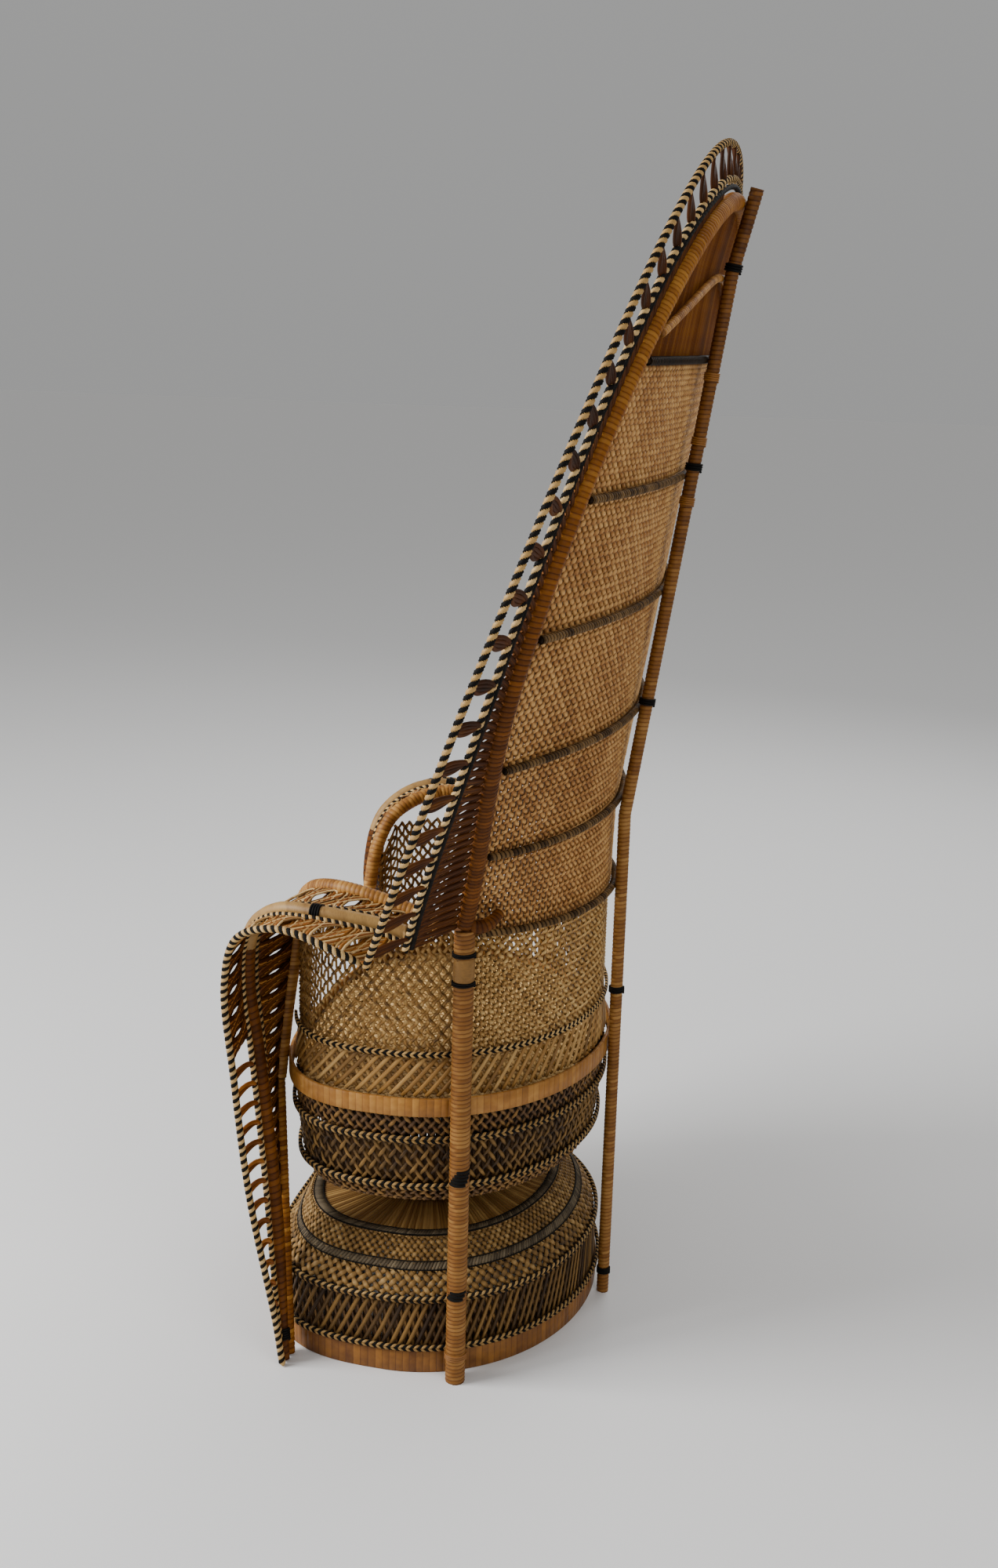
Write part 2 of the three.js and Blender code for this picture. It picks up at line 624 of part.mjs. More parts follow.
// Fan shell: stakes rise from the wall's top and spread to the frame pole.
const fanFoot = WALL_TOP + GAP;
const topClear = FRAME_RADIUS + SHELL_EDGE_GAP;
function fanTop(share) {
  const index = (1 - Math.abs(share)) * (ARCH_STEPS / 2);
  const i = Math.min(Math.floor(index), ARCH_STEPS / 2 - 1);
  const p = halfFrame[i].clone().lerp(halfFrame[i + 1], index - i);
  const way = between(halfFrame[i], halfFrame[i + 1]).normalize();
  const x = Math.max(0, p.x - topClear * way.z);
  const z = p.z + topClear * Math.min(0, way.x);
  return { x, z: Math.max(z, fanFoot + FAN_EDGE_RISE) };
}
const fanColumns = [];
const fanNormals = [];
for (let c = 0; c <= FAN_COLUMNS; c += 1) {
  const share = lerp(1, -1, c / FAN_COLUMNS);
  const top = fanTop(share);
  const foot = shellPoint(Math.abs(share), fanFoot);
  const places = Array.from({ length: FAN_ROWS + 1 }, (_, r) => {
    const z = lerp(fanFoot, top.z, r / FAN_ROWS);
    const edge = shellPoint(1, z);
    const x = lerp(foot.x, Math.min(top.x, edge.x), r / FAN_ROWS);
    return { at: shareAt(x, z) * Math.sign(share), z };
  });
  fanColumns.push(places.map(({ at, z }) => shellPoint(at, z)));
  fanNormals.push(places.map(({ at, z }) => shellNormal(at, z)));
}
// A plain grid of openings stands for the open weave below the top rib.
function isOpenWeave(i, j) {
  const [low, high] = [fanColumns[i][j].z, fanColumns[i][j + 1].z];
  return i % 2 === 1 && j % 2 === 1 && high - low > OPENING_LEAST && high < ribHeight('f');
}
add('fan_shell', lattice(fanColumns, fanNormals, SHELL_WALL, isOpenWeave), WEAVE);

// Ribs lie on the back of the shell, between the shell and the spine.
const ribOut = SHELL_WALL / 2 + RIB_RADIUS + RIB_GAP;
function shellRib(height) {
  const points = Array.from({ length: RIB_STEPS + 1 }, (_, i) => {
    const share = lerp(RIB_REACH, -RIB_REACH, i / RIB_STEPS);
    const z = height(share);
    return shellPoint(share, z).addScaledVector(shellNormal(share, z), ribOut);
  });
  return pole(points, RIB_RADIUS, CORD_SIDES);
}
for (const name of RIB_NAMES) {
  add(`shell_rib_${name}`, shellRib(() => ribHeight(name)), GREY);
}
const innerArchAt = (share) => ribHeight('arch') - INNER_ARCH_DROP * share * share;
add('shell_inner_arch', shellRib(innerArchAt), PEEL);

// Low wall round the back of the seat, between the side posts.
const wallFoot = RIM_TOP + GAP;
const outwardAt = (angle) => vec(Math.cos(angle), Math.sin(angle), 0);
function wallColumn(angle) {
  return [
    outline(angle, SKIN_INSET, wallFoot),
    outline(angle, SHELL_INSET, WALL_RIB_Z),
    outline(angle, SHELL_INSET, WALL_TOP),
  ];
}
const backAngles = Array.from({ length: WALL_COLUMNS + 1 }, (_, c) => (
  lerp(wallEdgeAngle, Math.PI - wallEdgeAngle, c / WALL_COLUMNS)
));
const backNormals = backAngles.map((angle) => Array(3).fill(outwardAt(angle)));
add('wall_back', sheet(backAngles.map(wallColumn), backNormals, SHELL_WALL), WEAVE);

// Rib round the low wall, from one arm post behind the seat to the other.
const wallRibInset = SHELL_INSET - SHELL_WALL / 2 - RIB_RADIUS - CURVE_GAP;
const wallRibEnd = ARM_POST_ANGLE + RIB_END_TURN;
const wallRib = Array.from({ length: RING_STEPS + 1 }, (_, i) => (
  outline(lerp(wallRibEnd, Math.PI - wallRibEnd, i / RING_STEPS), wallRibInset, WALL_RIB_Z)
));
add('shell_rib_s', pole(wallRib, RIB_RADIUS, CORD_SIDES), GREY);

// Arms: the lines of the left one.
const postOffset = RIM_OVERHANG + ARM_INNER_RADIUS + POST_RIM_GAP;
const postFoot = outline(ARM_POST_ANGLE, -postOffset, RIM_BOTTOM - POST_DROP);
const armFront = vec(postFoot.x, postFoot.y, RIM_TOP);
const braidReach = 2 * BRAID_RADIUS + CURVE_GAP - SKIN_INSET;
const legOffset = braidReach + FRONT_LEG_RADIUS + LEG_BRAID_GAP;
const legFoot = outline(LEG_ANGLE, -legOffset, FOOT_LIFT, DRUM_FORWARD);
const midFoot = moved(legFoot, [FRONT_LEG_RADIUS + CURVE_GAP + ARM_FOOT_RADIUS, 0, 0]);
const outerFoot = moved(midFoot, [ARM_FOOT_RADIUS + CURVE_GAP + CORD_RADIUS, 0, 0]);
function armLine(first, route) {
  const front = route.front.map((offset) => moved(armFront, offset));
  const rear = route.rear.map((offset) => moved(postHead, offset));
  return [...first, ...front, ...rear];
}
const armInner = curvePoints(armLine([postFoot], ARM_INNER), POST_STEPS);
const armMid = curvePoints(armLine([midFoot], ARM_MID), ARM_STEPS);
const armOuter = curvePoints(armLine([outerFoot], ARM_OUTER), ARM_STEPS);
const innerEdge = curvePoints(armLine([legFoot, postFoot], ARM_INNER), ARM_STEPS);
const frontLeg = [legFoot, moved(postFoot, [0, 0, -LEG_TOP_GAP])];
const midRadius = armMid.map((p) => lerp(ARM_FOOT_RADIUS, ARM_MID_RADIUS, smooth(p.z, 0, ARM_TAPER_TOP)));

// Band beside the middle pole of an arm: its cord, its far edge and the way across it.
function armBand(edge, last) {
  const way = tangents(armMid);
  const across = armMid.map((p, i) => {
    const out = between(p, edge[i]);
    return out.addScaledVector(way[i], -out.dot(way[i])).normalize();
  });
  const cord = armMid.map((p, i) => (
    p.clone().addScaledVector(across[i], midRadius[i] + CURVE_GAP + CORD_RADIUS)
  ));
  return [cord, edge, across].map((line) => line.slice(ARM_CORD_START, last));
}
const innerBand = armBand(innerEdge, ARM_STEPS);
const outerBand = armBand(armOuter, ARM_STEPS + 1);
const armAcross = armMid.map((p, i) => between(p, armOuter[i]));

// Side wall under the arm, from the side post forward to the arm post.
const sideAngles = Array.from({ length: SIDE_COLUMNS + 1 }, (_, c) => (
  lerp(wallEdgeAngle - GAP / HALF_WIDTH, ARM_POST_ANGLE + WALL_END_TURN, c / SIDE_COLUMNS)
));
const armAbove = curvePoints(armInner, RING_STEPS * POST_STEPS).filter((p) => p.z > RIM_TOP);
const sideColumns = sideAngles.map((angle, c) => {
  const column = wallColumn(angle);
  const top = column[2];
  const head = armAbove.reduce((best, p) => (
    Math.abs(p.y - top.y) < Math.abs(best.y - top.y) ? p : best
  ));
  const share = c / SIDE_COLUMNS;
  const clear = ARM_INNER_RADIUS + SHELL_WALL + POST_BEND_CLEAR * smooth(share, 0.7, 1);
  top.x = lerp(top.x, Math.min(top.x, head.x), smooth(share, 0, 0.6));
  top.z = Math.min(WALL_TOP, head.z - clear);
  return column;
});
const sideNormals = sideAngles.map((angle) => Array(3).fill(outwardAt(angle)));

// Posts, legs and arms on both sides.
for (const [name, place] of [['left', (p) => p.clone()], ['right', mirrored]]) {
  const put = (line) => line.map(place);
  const post = [vec(postX, SIDE_POST_BACK, 0), postHead];
  add(`side_post_${name}`, pole(put(post), SIDE_POST_RADIUS, POST_SIDES), PEEL);
  POST_TIE_DROPS.forEach((drop, i) => {
    const centre = place(moved(postHead, [0, 0, -drop]));
    const ring = tie(centre, vec(0, 0, 1), SIDE_POST_RADIUS, POST_SIDES);
    add(`side_post_tie_${name}_${i + 1}`, ring, DARK);
  });
  add(`front_leg_${name}`, pole(put(frontLeg), FRONT_LEG_RADIUS, POLE_SIDES), PEEL);
  add(`arm_inner_pole_${name}`, pole(put(armInner), ARM_INNER_RADIUS, POLE_SIDES), PEEL);
  const across = put(armAcross);
  add(`arm_mid_pole_${name}`, pole(put(armMid), midRadius, POLE_SIDES, across), PEEL);
  add(`arm_outer_cord_${name}`, pole(put(armOuter), CORD_RADIUS, CORD_SIDES, across), BRAID);
  const [cordIn, edgeIn, acrossIn] = innerBand.map(put);
  const [cordOut, edgeOut, acrossOut] = outerBand.map(put);
  add(`arm_cord_in_${name}`, pole(cordIn, CORD_RADIUS, CORD_SIDES, acrossIn), BRAID);
  add(`arm_cord_out_${name}`, pole(cordOut, CORD_RADIUS, CORD_SIDES, acrossOut), BRAID);
  const scrollIn = scroll(cordIn, edgeIn, CORD_RADIUS, ARM_INNER_RADIUS + GAP, ARM_SCROLL_PITCH);
  const scrollOut = scroll(cordOut, edgeOut, CORD_RADIUS, CORD_RADIUS, ARM_SCROLL_PITCH);
  add(`arm_scroll_in_${name}`, scrollIn, DARK);
  add(`arm_scroll_out_${name}`, scrollOut, DARK);
  add(`wall_side_${name}`, sheet(sideColumns.map(put), sideNormals.map(put), SHELL_WALL), WEAVE);
}

// Middle of the depth goes to y = 0.
const box = new THREE.Box3().setFromObject(group);
const middle = (box.min.y + box.max.y) / 2;
group.children.forEach((mesh) => mesh.geometry.translate(0, -middle, 0));

export default group;
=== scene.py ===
import math

import bpy
import numpy as np
from mathutils import Matrix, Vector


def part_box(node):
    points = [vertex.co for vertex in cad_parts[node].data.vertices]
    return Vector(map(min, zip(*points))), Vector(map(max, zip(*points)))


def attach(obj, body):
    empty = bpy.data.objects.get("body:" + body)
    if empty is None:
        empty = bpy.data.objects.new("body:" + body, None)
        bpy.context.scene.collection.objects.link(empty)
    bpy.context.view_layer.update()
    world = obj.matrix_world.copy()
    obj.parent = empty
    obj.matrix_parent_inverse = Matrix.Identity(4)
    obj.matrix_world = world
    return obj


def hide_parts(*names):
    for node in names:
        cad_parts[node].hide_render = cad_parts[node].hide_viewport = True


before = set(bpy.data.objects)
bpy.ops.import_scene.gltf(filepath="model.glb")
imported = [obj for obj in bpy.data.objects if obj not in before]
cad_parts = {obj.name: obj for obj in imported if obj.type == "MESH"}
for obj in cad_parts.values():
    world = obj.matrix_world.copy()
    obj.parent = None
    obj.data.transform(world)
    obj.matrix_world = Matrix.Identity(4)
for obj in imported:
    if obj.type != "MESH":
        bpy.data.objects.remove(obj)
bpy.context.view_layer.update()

# Sizes are in millimetres until a mesh is made, in a frame whose y is 0 at the middle of the seat.
MM = 0.001
rng = np.random.default_rng(7)

# Seat outline and base, as in the solids. An edge gives inset, height and how far the front reaches.
HALF_WIDTH, REAR_DEPTH, FRONT_DEPTH, SQUARENESS = 272, 236, 172, 3
DRUM_FORWARD, SHOULDER_FORWARD = 28, 46
FOOT_TOP, SEAT_TOP = 32, 395
RIM_OVERHANG, RIM_BOTTOM, RIM_TOP = 7, 375, 400
DRUM_HEAD, DISC_EDGE = (26, 134, DRUM_FORWARD), (58, 167, SHOULDER_FORWARD)
NECK_FOOT, NECK_HEAD, FLOOR_EDGE = (140, 180, DRUM_FORWARD), (140, 238, DRUM_FORWARD), (20, 246, 0)

# Posts, spine, shell, fan and arms, as in the solids.
GAP = 0.8
POST_RADIUS, POST_TOP, POST_BACK = 13, 632, 101
SPINE_RADIUS, SPINE_BEND_Z = 8.5, 720
SHELL_INSET, SHELL_HALF_THICK, WALL_TOP, WALL_RIB_Z = 9, 2, 617, 457
RIB_RADIUS, RIB_CLEAR = 4, 2.5
RIB_HEIGHTS = {"a": 617, "b": 740, "c": 865, "d": 1022, "e": 1171, "f": 1315}
INNER_ARCH_TOP, INNER_ARCH_DROP = 1412, 75
FRAME_RADIUS, FRAME_HALF_WIDTH, FRAME_WIDEST_Z, FRAME_TOP_Z, FRAME_BACK = 11, 420, 985, 1500, 353
BORDER_FOOT = (94, -97, -26)
BORDER_SIDE, BORDER_WIDEST_RISE, BORDER_TOP_RISE, BORDER_TOP_FORWARD = 90, 15, 66, 7
CORD_RADIUS, DARK_POLE_RADIUS, BRAID_RADIUS = 5, 3.5, 4.5
ARM_POST_ANGLE, LEG_ANGLE = -1.06, -0.46
ARM_INNER_RADIUS, ARM_MID_RADIUS, ARM_FOOT_RADIUS, LEG_RADIUS = 10, 10, 6, 8
ARM_INNER = (
    [(-10, 8, 60), (-14, 17, 130), (-9, 27, 190), (13, 48, 235), (64, 110, 261)],
    [(-12, -71, 12), (-7, -27, -4)],
)
ARM_MID = (
    [(79, 21, -170), (72, -4, 40), (76, -13, 123), (95, 2, 206), (121, 48, 245), (135, 106, 251)],
    [(38, -93, 8), (37, -63, 1)],
)
ARM_OUTER = (
    [(118, 37, -338), (128, 6, -151), (138, -9, 18), (149, -15, 149), (164, 8, 218), (188, 73, 245),
     (196, 150, 227)],
    [(94, -107, -20)],
)

# The rim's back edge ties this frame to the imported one.
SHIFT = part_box("seat_rim_band")[1][1] / MM - REAR_DEPTH - RIM_OVERHANG


def lerp(a, b, t):
    return a + (b - a) * t


def smooth(x, low, high):
    t = np.clip((x - low) / (high - low), 0, 1)
    return t * t * (3 - 2 * t)


def unit(v):
    return v / np.maximum(np.linalg.norm(v, axis=-1, keepdims=True), 1e-9)


def heading(path, closed=False):
    """Unit direction of a path at each of its points."""
    return unit(np.roll(path, -1, 0) - np.roll(path, 1, 0) if closed else np.gradient(path, axis=0))


def arc_lengths(path):
    return np.concatenate([[0], np.cumsum(np.linalg.norm(np.diff(path, axis=0), axis=1))])


def sampled(at, s, path):
    """Points of a polyline at places on the scale s of its points."""
    return np.stack([np.interp(at, s, path[:, k]) for k in range(3)], -1)


def resampled(path, count):
    """count + 1 points at even steps along a polyline."""
    s = arc_lengths(path)
    return sampled(np.linspace(0, s[-1], count + 1), s, path)


def path_at(path, where):
    """Points at shares of the way through a path's own points."""
    return sampled(np.clip(where, 0, 1) * (len(path) - 1), np.arange(len(path)), path)


def catmull(points, count):
    """Even steps on a centripetal Catmull-Rom curve through the points."""
    p = np.array(points, float)
    p = np.vstack([2 * p[0] - p[1], p, 2 * p[-1] - p[-2]])
    parts = []
    t = np.linspace(0, 1, 40)[:, None]
    for a, b, c, d in zip(p, p[1:], p[2:], p[3:]):
        da, db, dc = (np.linalg.norm(v) ** 0.5 for v in (b - a, c - b, d - c))
        m1 = db * ((b - a) / da - (c - a) / (da + db) + (c - b) / db)
        m2 = db * ((c - b) / db - (d - b) / (db + dc) + (d - c) / dc)
        parts.append(b + m1 * t + (3 * (c - b) - 2 * m1 - m2) * t**2 + (2 * (b - c) + m1 + m2) * t**3)
    return resampled(np.vstack(parts), count)


UPRIGHT = 0.9


def frames(path):
    """Two unit vectors across a path at each point, carried along it without twist."""
    way = heading(path)
    side = np.zeros_like(way)
    start = np.array([1.0, 0, 0]) if abs(way[0, 2]) > UPRIGHT else np.array([0, 0, 1.0])
    for i, w in enumerate(way):
        start = unit(start - w * start.dot(w))
        side[i] = start
    return side, np.cross(way, side)


# Cross sections by their number of sides; a plain slat has softened edges instead.
LOZENGE, ROUND, PLAIN_SLAT = 4, 6, 0
SLAT = np.array([
    (1, -0.5), (1, 0.5), (0.93, 1), (-0.93, 1), (-1, 0.5), (-1, -0.5), (-0.93, -1), (0.93, -1),
])


def linked(name, data):
    thing = bpy.data.objects.new(name, data)
    bpy.context.collection.objects.link(thing)
    return thing


class Strands:
    """Collects swept strands and makes one piece of them."""

    def __init__(self):
        self.points, self.faces, self.tones, self.uvs, self.kinds = [], [], [], [], []
        self.names, self.count = [], 0

    def kind(self, name):
        if name not in self.names:
            self.names.append(name)
        return self.names.index(name)

    def put(self, points, faces, tones, along, around, material):
        self.points.append(points)
        self.faces.append(faces + self.count)
        self.tones.append(np.broadcast_to(tones, len(points)))
        self.uvs.append(np.stack(np.broadcast_arrays(along, around), -1).reshape(-1, 2))
        self.kinds.append(np.full(len(faces), self.kind(material)))
        self.count += len(points)

    def rings(self, rings, tone, material, closed=False):
        """Tube through rings of points, closed to itself or capped at both ends."""
        n, sides = rings.shape[:2]
        grid = np.arange(n * sides).reshape(n, sides)
        a, b = (grid, np.roll(grid, -1, 0)) if closed else (grid[:-1], grid[1:])
        faces = np.stack([a, np.roll(a, -1, 1), np.roll(b, -1, 1), b], -1).reshape(-1, 4)
        if not closed:
            j = np.arange(sides // 2 - 1)
            cap = np.stack([j, j + 1, sides - 2 - j, sides - 1 - j], -1)
            faces = np.vstack([faces, cap[:, ::-1], cap + (n - 1) * sides])
        along = np.broadcast_to(arc_lengths(rings.mean(1))[:, None], (n, sides))
        around = np.broadcast_to(np.arange(sides) / sides, (n, sides))
        tones = np.broadcast_to(np.reshape(tone, (-1, 1)), (n, sides)).reshape(-1)
        self.put(rings.reshape(-1, 3), faces, tones, along.reshape(-1), around.reshape(-1), material)

    def strip(self, path, normal, tone, material, width, thick, sides=LOZENGE, closed=False):
        """Strand along a path, its flat side to the normal."""
        way = heading(path, closed)
        across = unit(np.cross(way, normal))
        up = np.cross(way, across)
        turn = math.tau * np.arange(sides) / max(sides, 1)
        section = np.stack([np.cos(turn), np.sin(turn)], -1) if sides else SLAT
        w = np.reshape(width, (-1, 1, 1)) / 2
        t = np.reshape(thick, (-1, 1, 1)) / 2
        rings = path[:, None] + across[:, None] * w * section[:, :1] + up[:, None] * t * section[:, 1:]
        self.rings(rings, tone, material, closed)

    def make(self, name, slot, *nodes):
        points = np.vstack(self.points)
        faces = np.vstack(self.faces)
        mesh = bpy.data.meshes.new(name)
        mesh.vertices.add(len(points))
        mesh.vertices.foreach_set("co", ((points + (0, SHIFT, 0)) * MM).ravel())
        mesh.loops.add(faces.size)
        mesh.loops.foreach_set("vertex_index", faces.ravel().astype(np.int32))
        mesh.polygons.add(len(faces))
        mesh.polygons.foreach_set("loop_start", np.arange(0, faces.size, 4, dtype=np.int32))
        mesh.polygons.foreach_set("material_index", np.concatenate(self.kinds).astype(np.int32))
        mesh.polygons.foreach_set("use_smooth", np.ones(len(faces), bool))
        mesh.attributes.new("tone", "FLOAT", "POINT").data.foreach_set("value", np.concatenate(self.tones))
        uv = np.vstack(self.uvs)[faces.ravel()]
        mesh.uv_layers.new(name="strand").data.foreach_set("uv", uv.ravel().astype(np.float32))
        for kind in self.names:
            mesh.materials.append(MATERIALS[kind])
        mesh.update(calc_edges=True)
        mesh.validate()
        piece = linked(name, mesh)
        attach(piece, "root")
        if nodes:
            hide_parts(*nodes)


# Materials: a tone per strand, streaks along it, blotches and fine relief.
STREAK_STRETCH, STREAK_SCALE, STREAK_DETAIL, STREAK_SHARE = (0.03, 9, 1), 2.2, 6, 0.5
BLOTCH_SCALE, BLOTCH_DETAIL, BLOTCH_SHARE = 14, 4, 0.45
GLOSSIER, DULLER, RELIEF_METRES = 0.1, 0.15, 0.0006


def linear(code):
    values = [int(code[i:i + 2], 16) / 255 for i in (0, 2, 4)]
    return (*[v / 12.92 if v < 0.04045 else ((v + 0.055) / 1.055) ** 2.4 for v in values], 1)


def strand_material(name, dark, middle, light, rough, relief, shine=0.4):
    material = bpy.data.materials.new(name)
    material.use_nodes = True
    nodes, links = material.node_tree.nodes, material.node_tree.links
    shader = nodes["Principled BSDF"]
    shader.inputs["Specular IOR Level"].default_value = shine

    def add(kind, values, *sources, **settings):
        node = nodes.new("ShaderNode" + kind)
        for key, value in settings.items():
            setattr(node, key, value)
        for key, value in values.items():
            node.inputs[key].default_value = value
        for key, output in sources:
            links.new(output, node.inputs[key])
        return node.outputs

    tone = add("Attribute", {}, attribute_name="tone")["Fac"]
    uv = add("UVMap", {}, uv_map="strand")["UV"]
    stretch = add("Mapping", {"Scale": STREAK_STRETCH}, ("Vector", uv))["Vector"]
    fine = {"Scale": STREAK_SCALE, "Detail": STREAK_DETAIL}
    streak = add("TexNoise", fine, ("Vector", stretch))["Fac"]
    place = add("TexCoord", {})["Object"]
    coarse = {"Scale": BLOTCH_SCALE, "Detail": BLOTCH_DETAIL}
    blotch = add("TexNoise", coarse, ("Vector", place))["Fac"]
    mix = add("Math", {1: STREAK_SHARE}, (0, streak), (2, tone), operation="MULTIPLY_ADD")["Value"]
    total = add("Math", {1: BLOTCH_SHARE}, (0, blotch), (2, mix), operation="MULTIPLY_ADD")["Value"]
    middle_noise = (STREAK_SHARE + BLOTCH_SHARE) / 2
    level = add("Math", {1: middle_noise}, (0, total), operation="SUBTRACT")["Value"]
    colour = add("ValToRGB", {}, ("Fac", level))["Color"]
    elements = colour.node.color_ramp.elements
    elements[0].color = linear(dark)
    elements[1].color = linear(light)
    elements.new(0.5).color = linear(middle)
    links.new(colour, shader.inputs["Base Color"])
    gloss = {"To Min": rough - GLOSSIER, "To Max": rough + DULLER}
    links.new(add("MapRange", gloss, ("Value", streak))["Result"], shader.inputs["Roughness"])
    bump = {"Strength": relief, "Distance": RELIEF_METRES}
    links.new(add("Bump", bump, ("Height", streak))["Normal"], shader.inputs["Normal"])
    return material


# Each look: name, dark, middle and light colour, roughness, relief and shine.
LOOKS = {
    "peel": ("peel", "5c3410", "986425", "c8964e", 0.48, 0.3, 0.3),
    "orange": ("orange_peel", "3d1d04", "7e4810", "b68034", 0.52, 0.3, 0.12),
    "weave": ("weave", "341c0a", "96622b", "d4a564", 0.5, 0.35, 0.3),
    "cane": ("cane", "321f0c", "946a30", "d4b072", 0.5, 0.35, 0.3),
    "post": ("post_peel", "45240a", "7e501e", "b68a4a", 0.48, 0.3, 0.2),
    "brown": ("brown_weave", "2c1b0b", "5d3f1e", "8f672e", 0.6, 0.35),
    "straw": ("straw", "7a5628", "b48d50", "dcbc84", 0.5, 0.3),
    "olive": ("olive_weave", "2c1c0c", "82602f", "bc9c68", 0.55, 0.35, 0.25),
    "tan": ("tan", "4a3218", "8c6a3a", "b8965f", 0.55, 0.3, 0.25),
    "black": ("black", "050403", "0e0b08", "241b13", 0.7, 0.3, 0.15),
    "scroll": ("scroll", "1f0e03", "482407", "835018", 0.55, 0.35, 0.12),
    "panel": ("panel_peel", "2c1403", "643508", "96601e", 0.7, 0.3, 0.03),
    "copper": ("copper", "4c2408", "8c4f18", "bf843c", 0.5, 0.35, 0.25),
    "rib": ("rib", "0b0603", "33220f", "80623c", 0.5, 0.35, 0.1),
    "band": ("grey_band", "2a2218", "4c402f", "75664e", 0.65, 0.3, 0.25),
}
MATERIALS = {key: strand_material(*look) for key, look in LOOKS.items()}


def tones(count, low=0.25, high=0.75):
    return rng.uniform(low, high, count)


# Wrapped pole: one strip wound round it, turn against turn, with four rings to a turn.
WRAP_PHASES = np.array([0, 0.16, 0.5, 0.84])
WRAP_LIFTS = np.array([-1, 0, 0.35, 0])
# Painted shade in the groove between turns and a painted highlight on each turn's crest.
WRAP_PAINTED_SHADING = np.array([-1, 0.1, 0.3, 0.1])
WRAP_STEP, WRAP_GRAIN, END_TONE = 2, 180, 0.2


def wrapped(
    strands, path, material, radius, pitch,
    sides=12, ridge=0.5, spread=(0.25, 0.75), groove_shade=0.3, painted_shading=0.0,
):
    s_given = arc_lengths(path)
    length = s_given[-1]
    radius = np.broadcast_to(radius, len(path))
    painted_shading = np.broadcast_to(painted_shading, len(path))
    path = resampled(path, max(2, int(length / WRAP_STEP)))
    s_path = arc_lengths(path)
    radius = np.interp(s_path, s_given, radius)
    side, up = frames(path)
    turns = int(math.ceil(length / pitch)) + 1
    count = 4 * turns + 1
    ring = np.arange(count)
    column = np.arange(sides)
    s = pitch * (ring[:, None] // 4 + WRAP_PHASES[ring % 4][:, None] + column / sides - 1)
    s = np.clip(s, 0, length)
    thick = np.interp(s, s_path, radius) + ridge * WRAP_LIFTS[ring % 4][:, None]
    at = [sampled(s, s_path, v) for v in (path, side, up)]
    turn = math.tau * column / sides
    points = at[0] + thick[..., None] * (at[1] * np.cos(turn)[:, None] + at[2] * np.sin(turn)[:, None])
    grid = np.arange(count * sides).reshape(count, sides)
    faces = np.stack([grid[:-1, :-1], grid[:-1, 1:], grid[1:, 1:], grid[1:, :-1]], -1).reshape(-1, 4)
    seam = np.stack([grid[:-5, -1], grid[4:-1, 0], grid[5:, 0], grid[1:-4, -1]], -1)
    faces = np.vstack([faces, seam])
    # Each turn's tone, with painted shade in its groove and a painted highlight on its crest.
    tone = tones(turns + 2, *spread)[ring // 4] + groove_shade * WRAP_PAINTED_SHADING[ring % 4]
    # Painted light and shade along the pole, a tone shift given by the caller.
    tone = tone + np.interp(pitch * (ring // 4), s_given, painted_shading)
    tone = np.broadcast_to(tone[:, None], (count, sides)).reshape(-1)
    grain = np.broadcast_to(column / sides * WRAP_GRAIN, (count, sides)).reshape(-1)
    strands.put(points.reshape(-1, 3), faces, tone, grain, s.reshape(-1) / pitch, material)
    for end, inward in ((0, 1), (-1, -1)):
        out = side[end] * np.cos(turn)[:, None] + up[end] * np.sin(turn)[:, None]
        disc = path[end] + out * (radius[end] - ridge)
        coin = np.stack([disc, disc + (path[end + inward] - path[end]) * 0.5])
        strands.rings(coin[::inward], END_TONE, material)


# Braided cord: strands of two colours laid round each other.
CORD_STEPS, PLY_OUT, PLY_REACH, PLY_FLATNESS = 10, 0.46, 1.04, 1.25
PALE_PLIES = ["straw", "black"]


def cord(strands, path, radius, pitch, materials=PALE_PLIES, closed=False, side=None, up=None):
    s = arc_lengths(path)
    count = max(1, round(s[-1] / pitch)) * CORD_STEPS
    if side is None:
        fine = resampled(path, count)
        side, up = frames(fine)
    else:
        at = np.linspace(0, s[-1], count + 1)
        fine, side, up = (sampled(at, s, v) for v in (path, side, up))
    if closed:
        fine, side, up = fine[:-1], side[:-1], up[:-1]
    angle = math.tau * np.arange(len(fine)) / CORD_STEPS
    wide = 2 * radius * (PLY_REACH - PLY_OUT)
    for ply, material in enumerate(materials):
        turn = angle + math.tau * ply / len(materials)
        out = side * np.cos(turn)[:, None] + up * np.sin(turn)[:, None]
        path = fine + out * radius * PLY_OUT
        strands.strip(path, out, tones(1)[0], material, wide * PLY_FLATNESS, wide, ROUND, closed)


# Ring surfaces of the base: t runs once round the outline, v up a profile.
FINE_ANGLES = np.linspace(-math.pi / 2, 1.5 * math.pi, 4001)


def outline(angle, inset, z, forward=0):
    c, s = np.cos(angle), np.sin(angle)
    power = np.where(s < 0, 2 / SQUARENESS, 1)
    depth = np.where(s < 0, FRONT_DEPTH + forward, REAR_DEPTH) - inset
    x = (HALF_WIDTH - inset) * np.sign(c) * np.abs(c) ** power
    y = depth * np.sign(s) * np.abs(s) ** power
    return np.stack(np.broadcast_arrays(x, y, z), -1).astype(float)


OUTLINE_LENGTHS = arc_lengths(outline(FINE_ANGLES, 0, 0))
PERIMETER = OUTLINE_LENGTHS[-1]


def angle_at(t):
    return np.interp(np.mod(t, 1), OUTLINE_LENGTHS / PERIMETER, FINE_ANGLES)


def ring_surface(*profile):
    p = np.array(profile, float)
    s = arc_lengths(p * (1, 1, 0))
    s = s / s[-1]

    def surface(t, v):
        inset, z, forward = (np.interp(v, s, p[:, k]) for k in range(3))
        return outline(angle_at(t), inset, z, forward)

    return surface


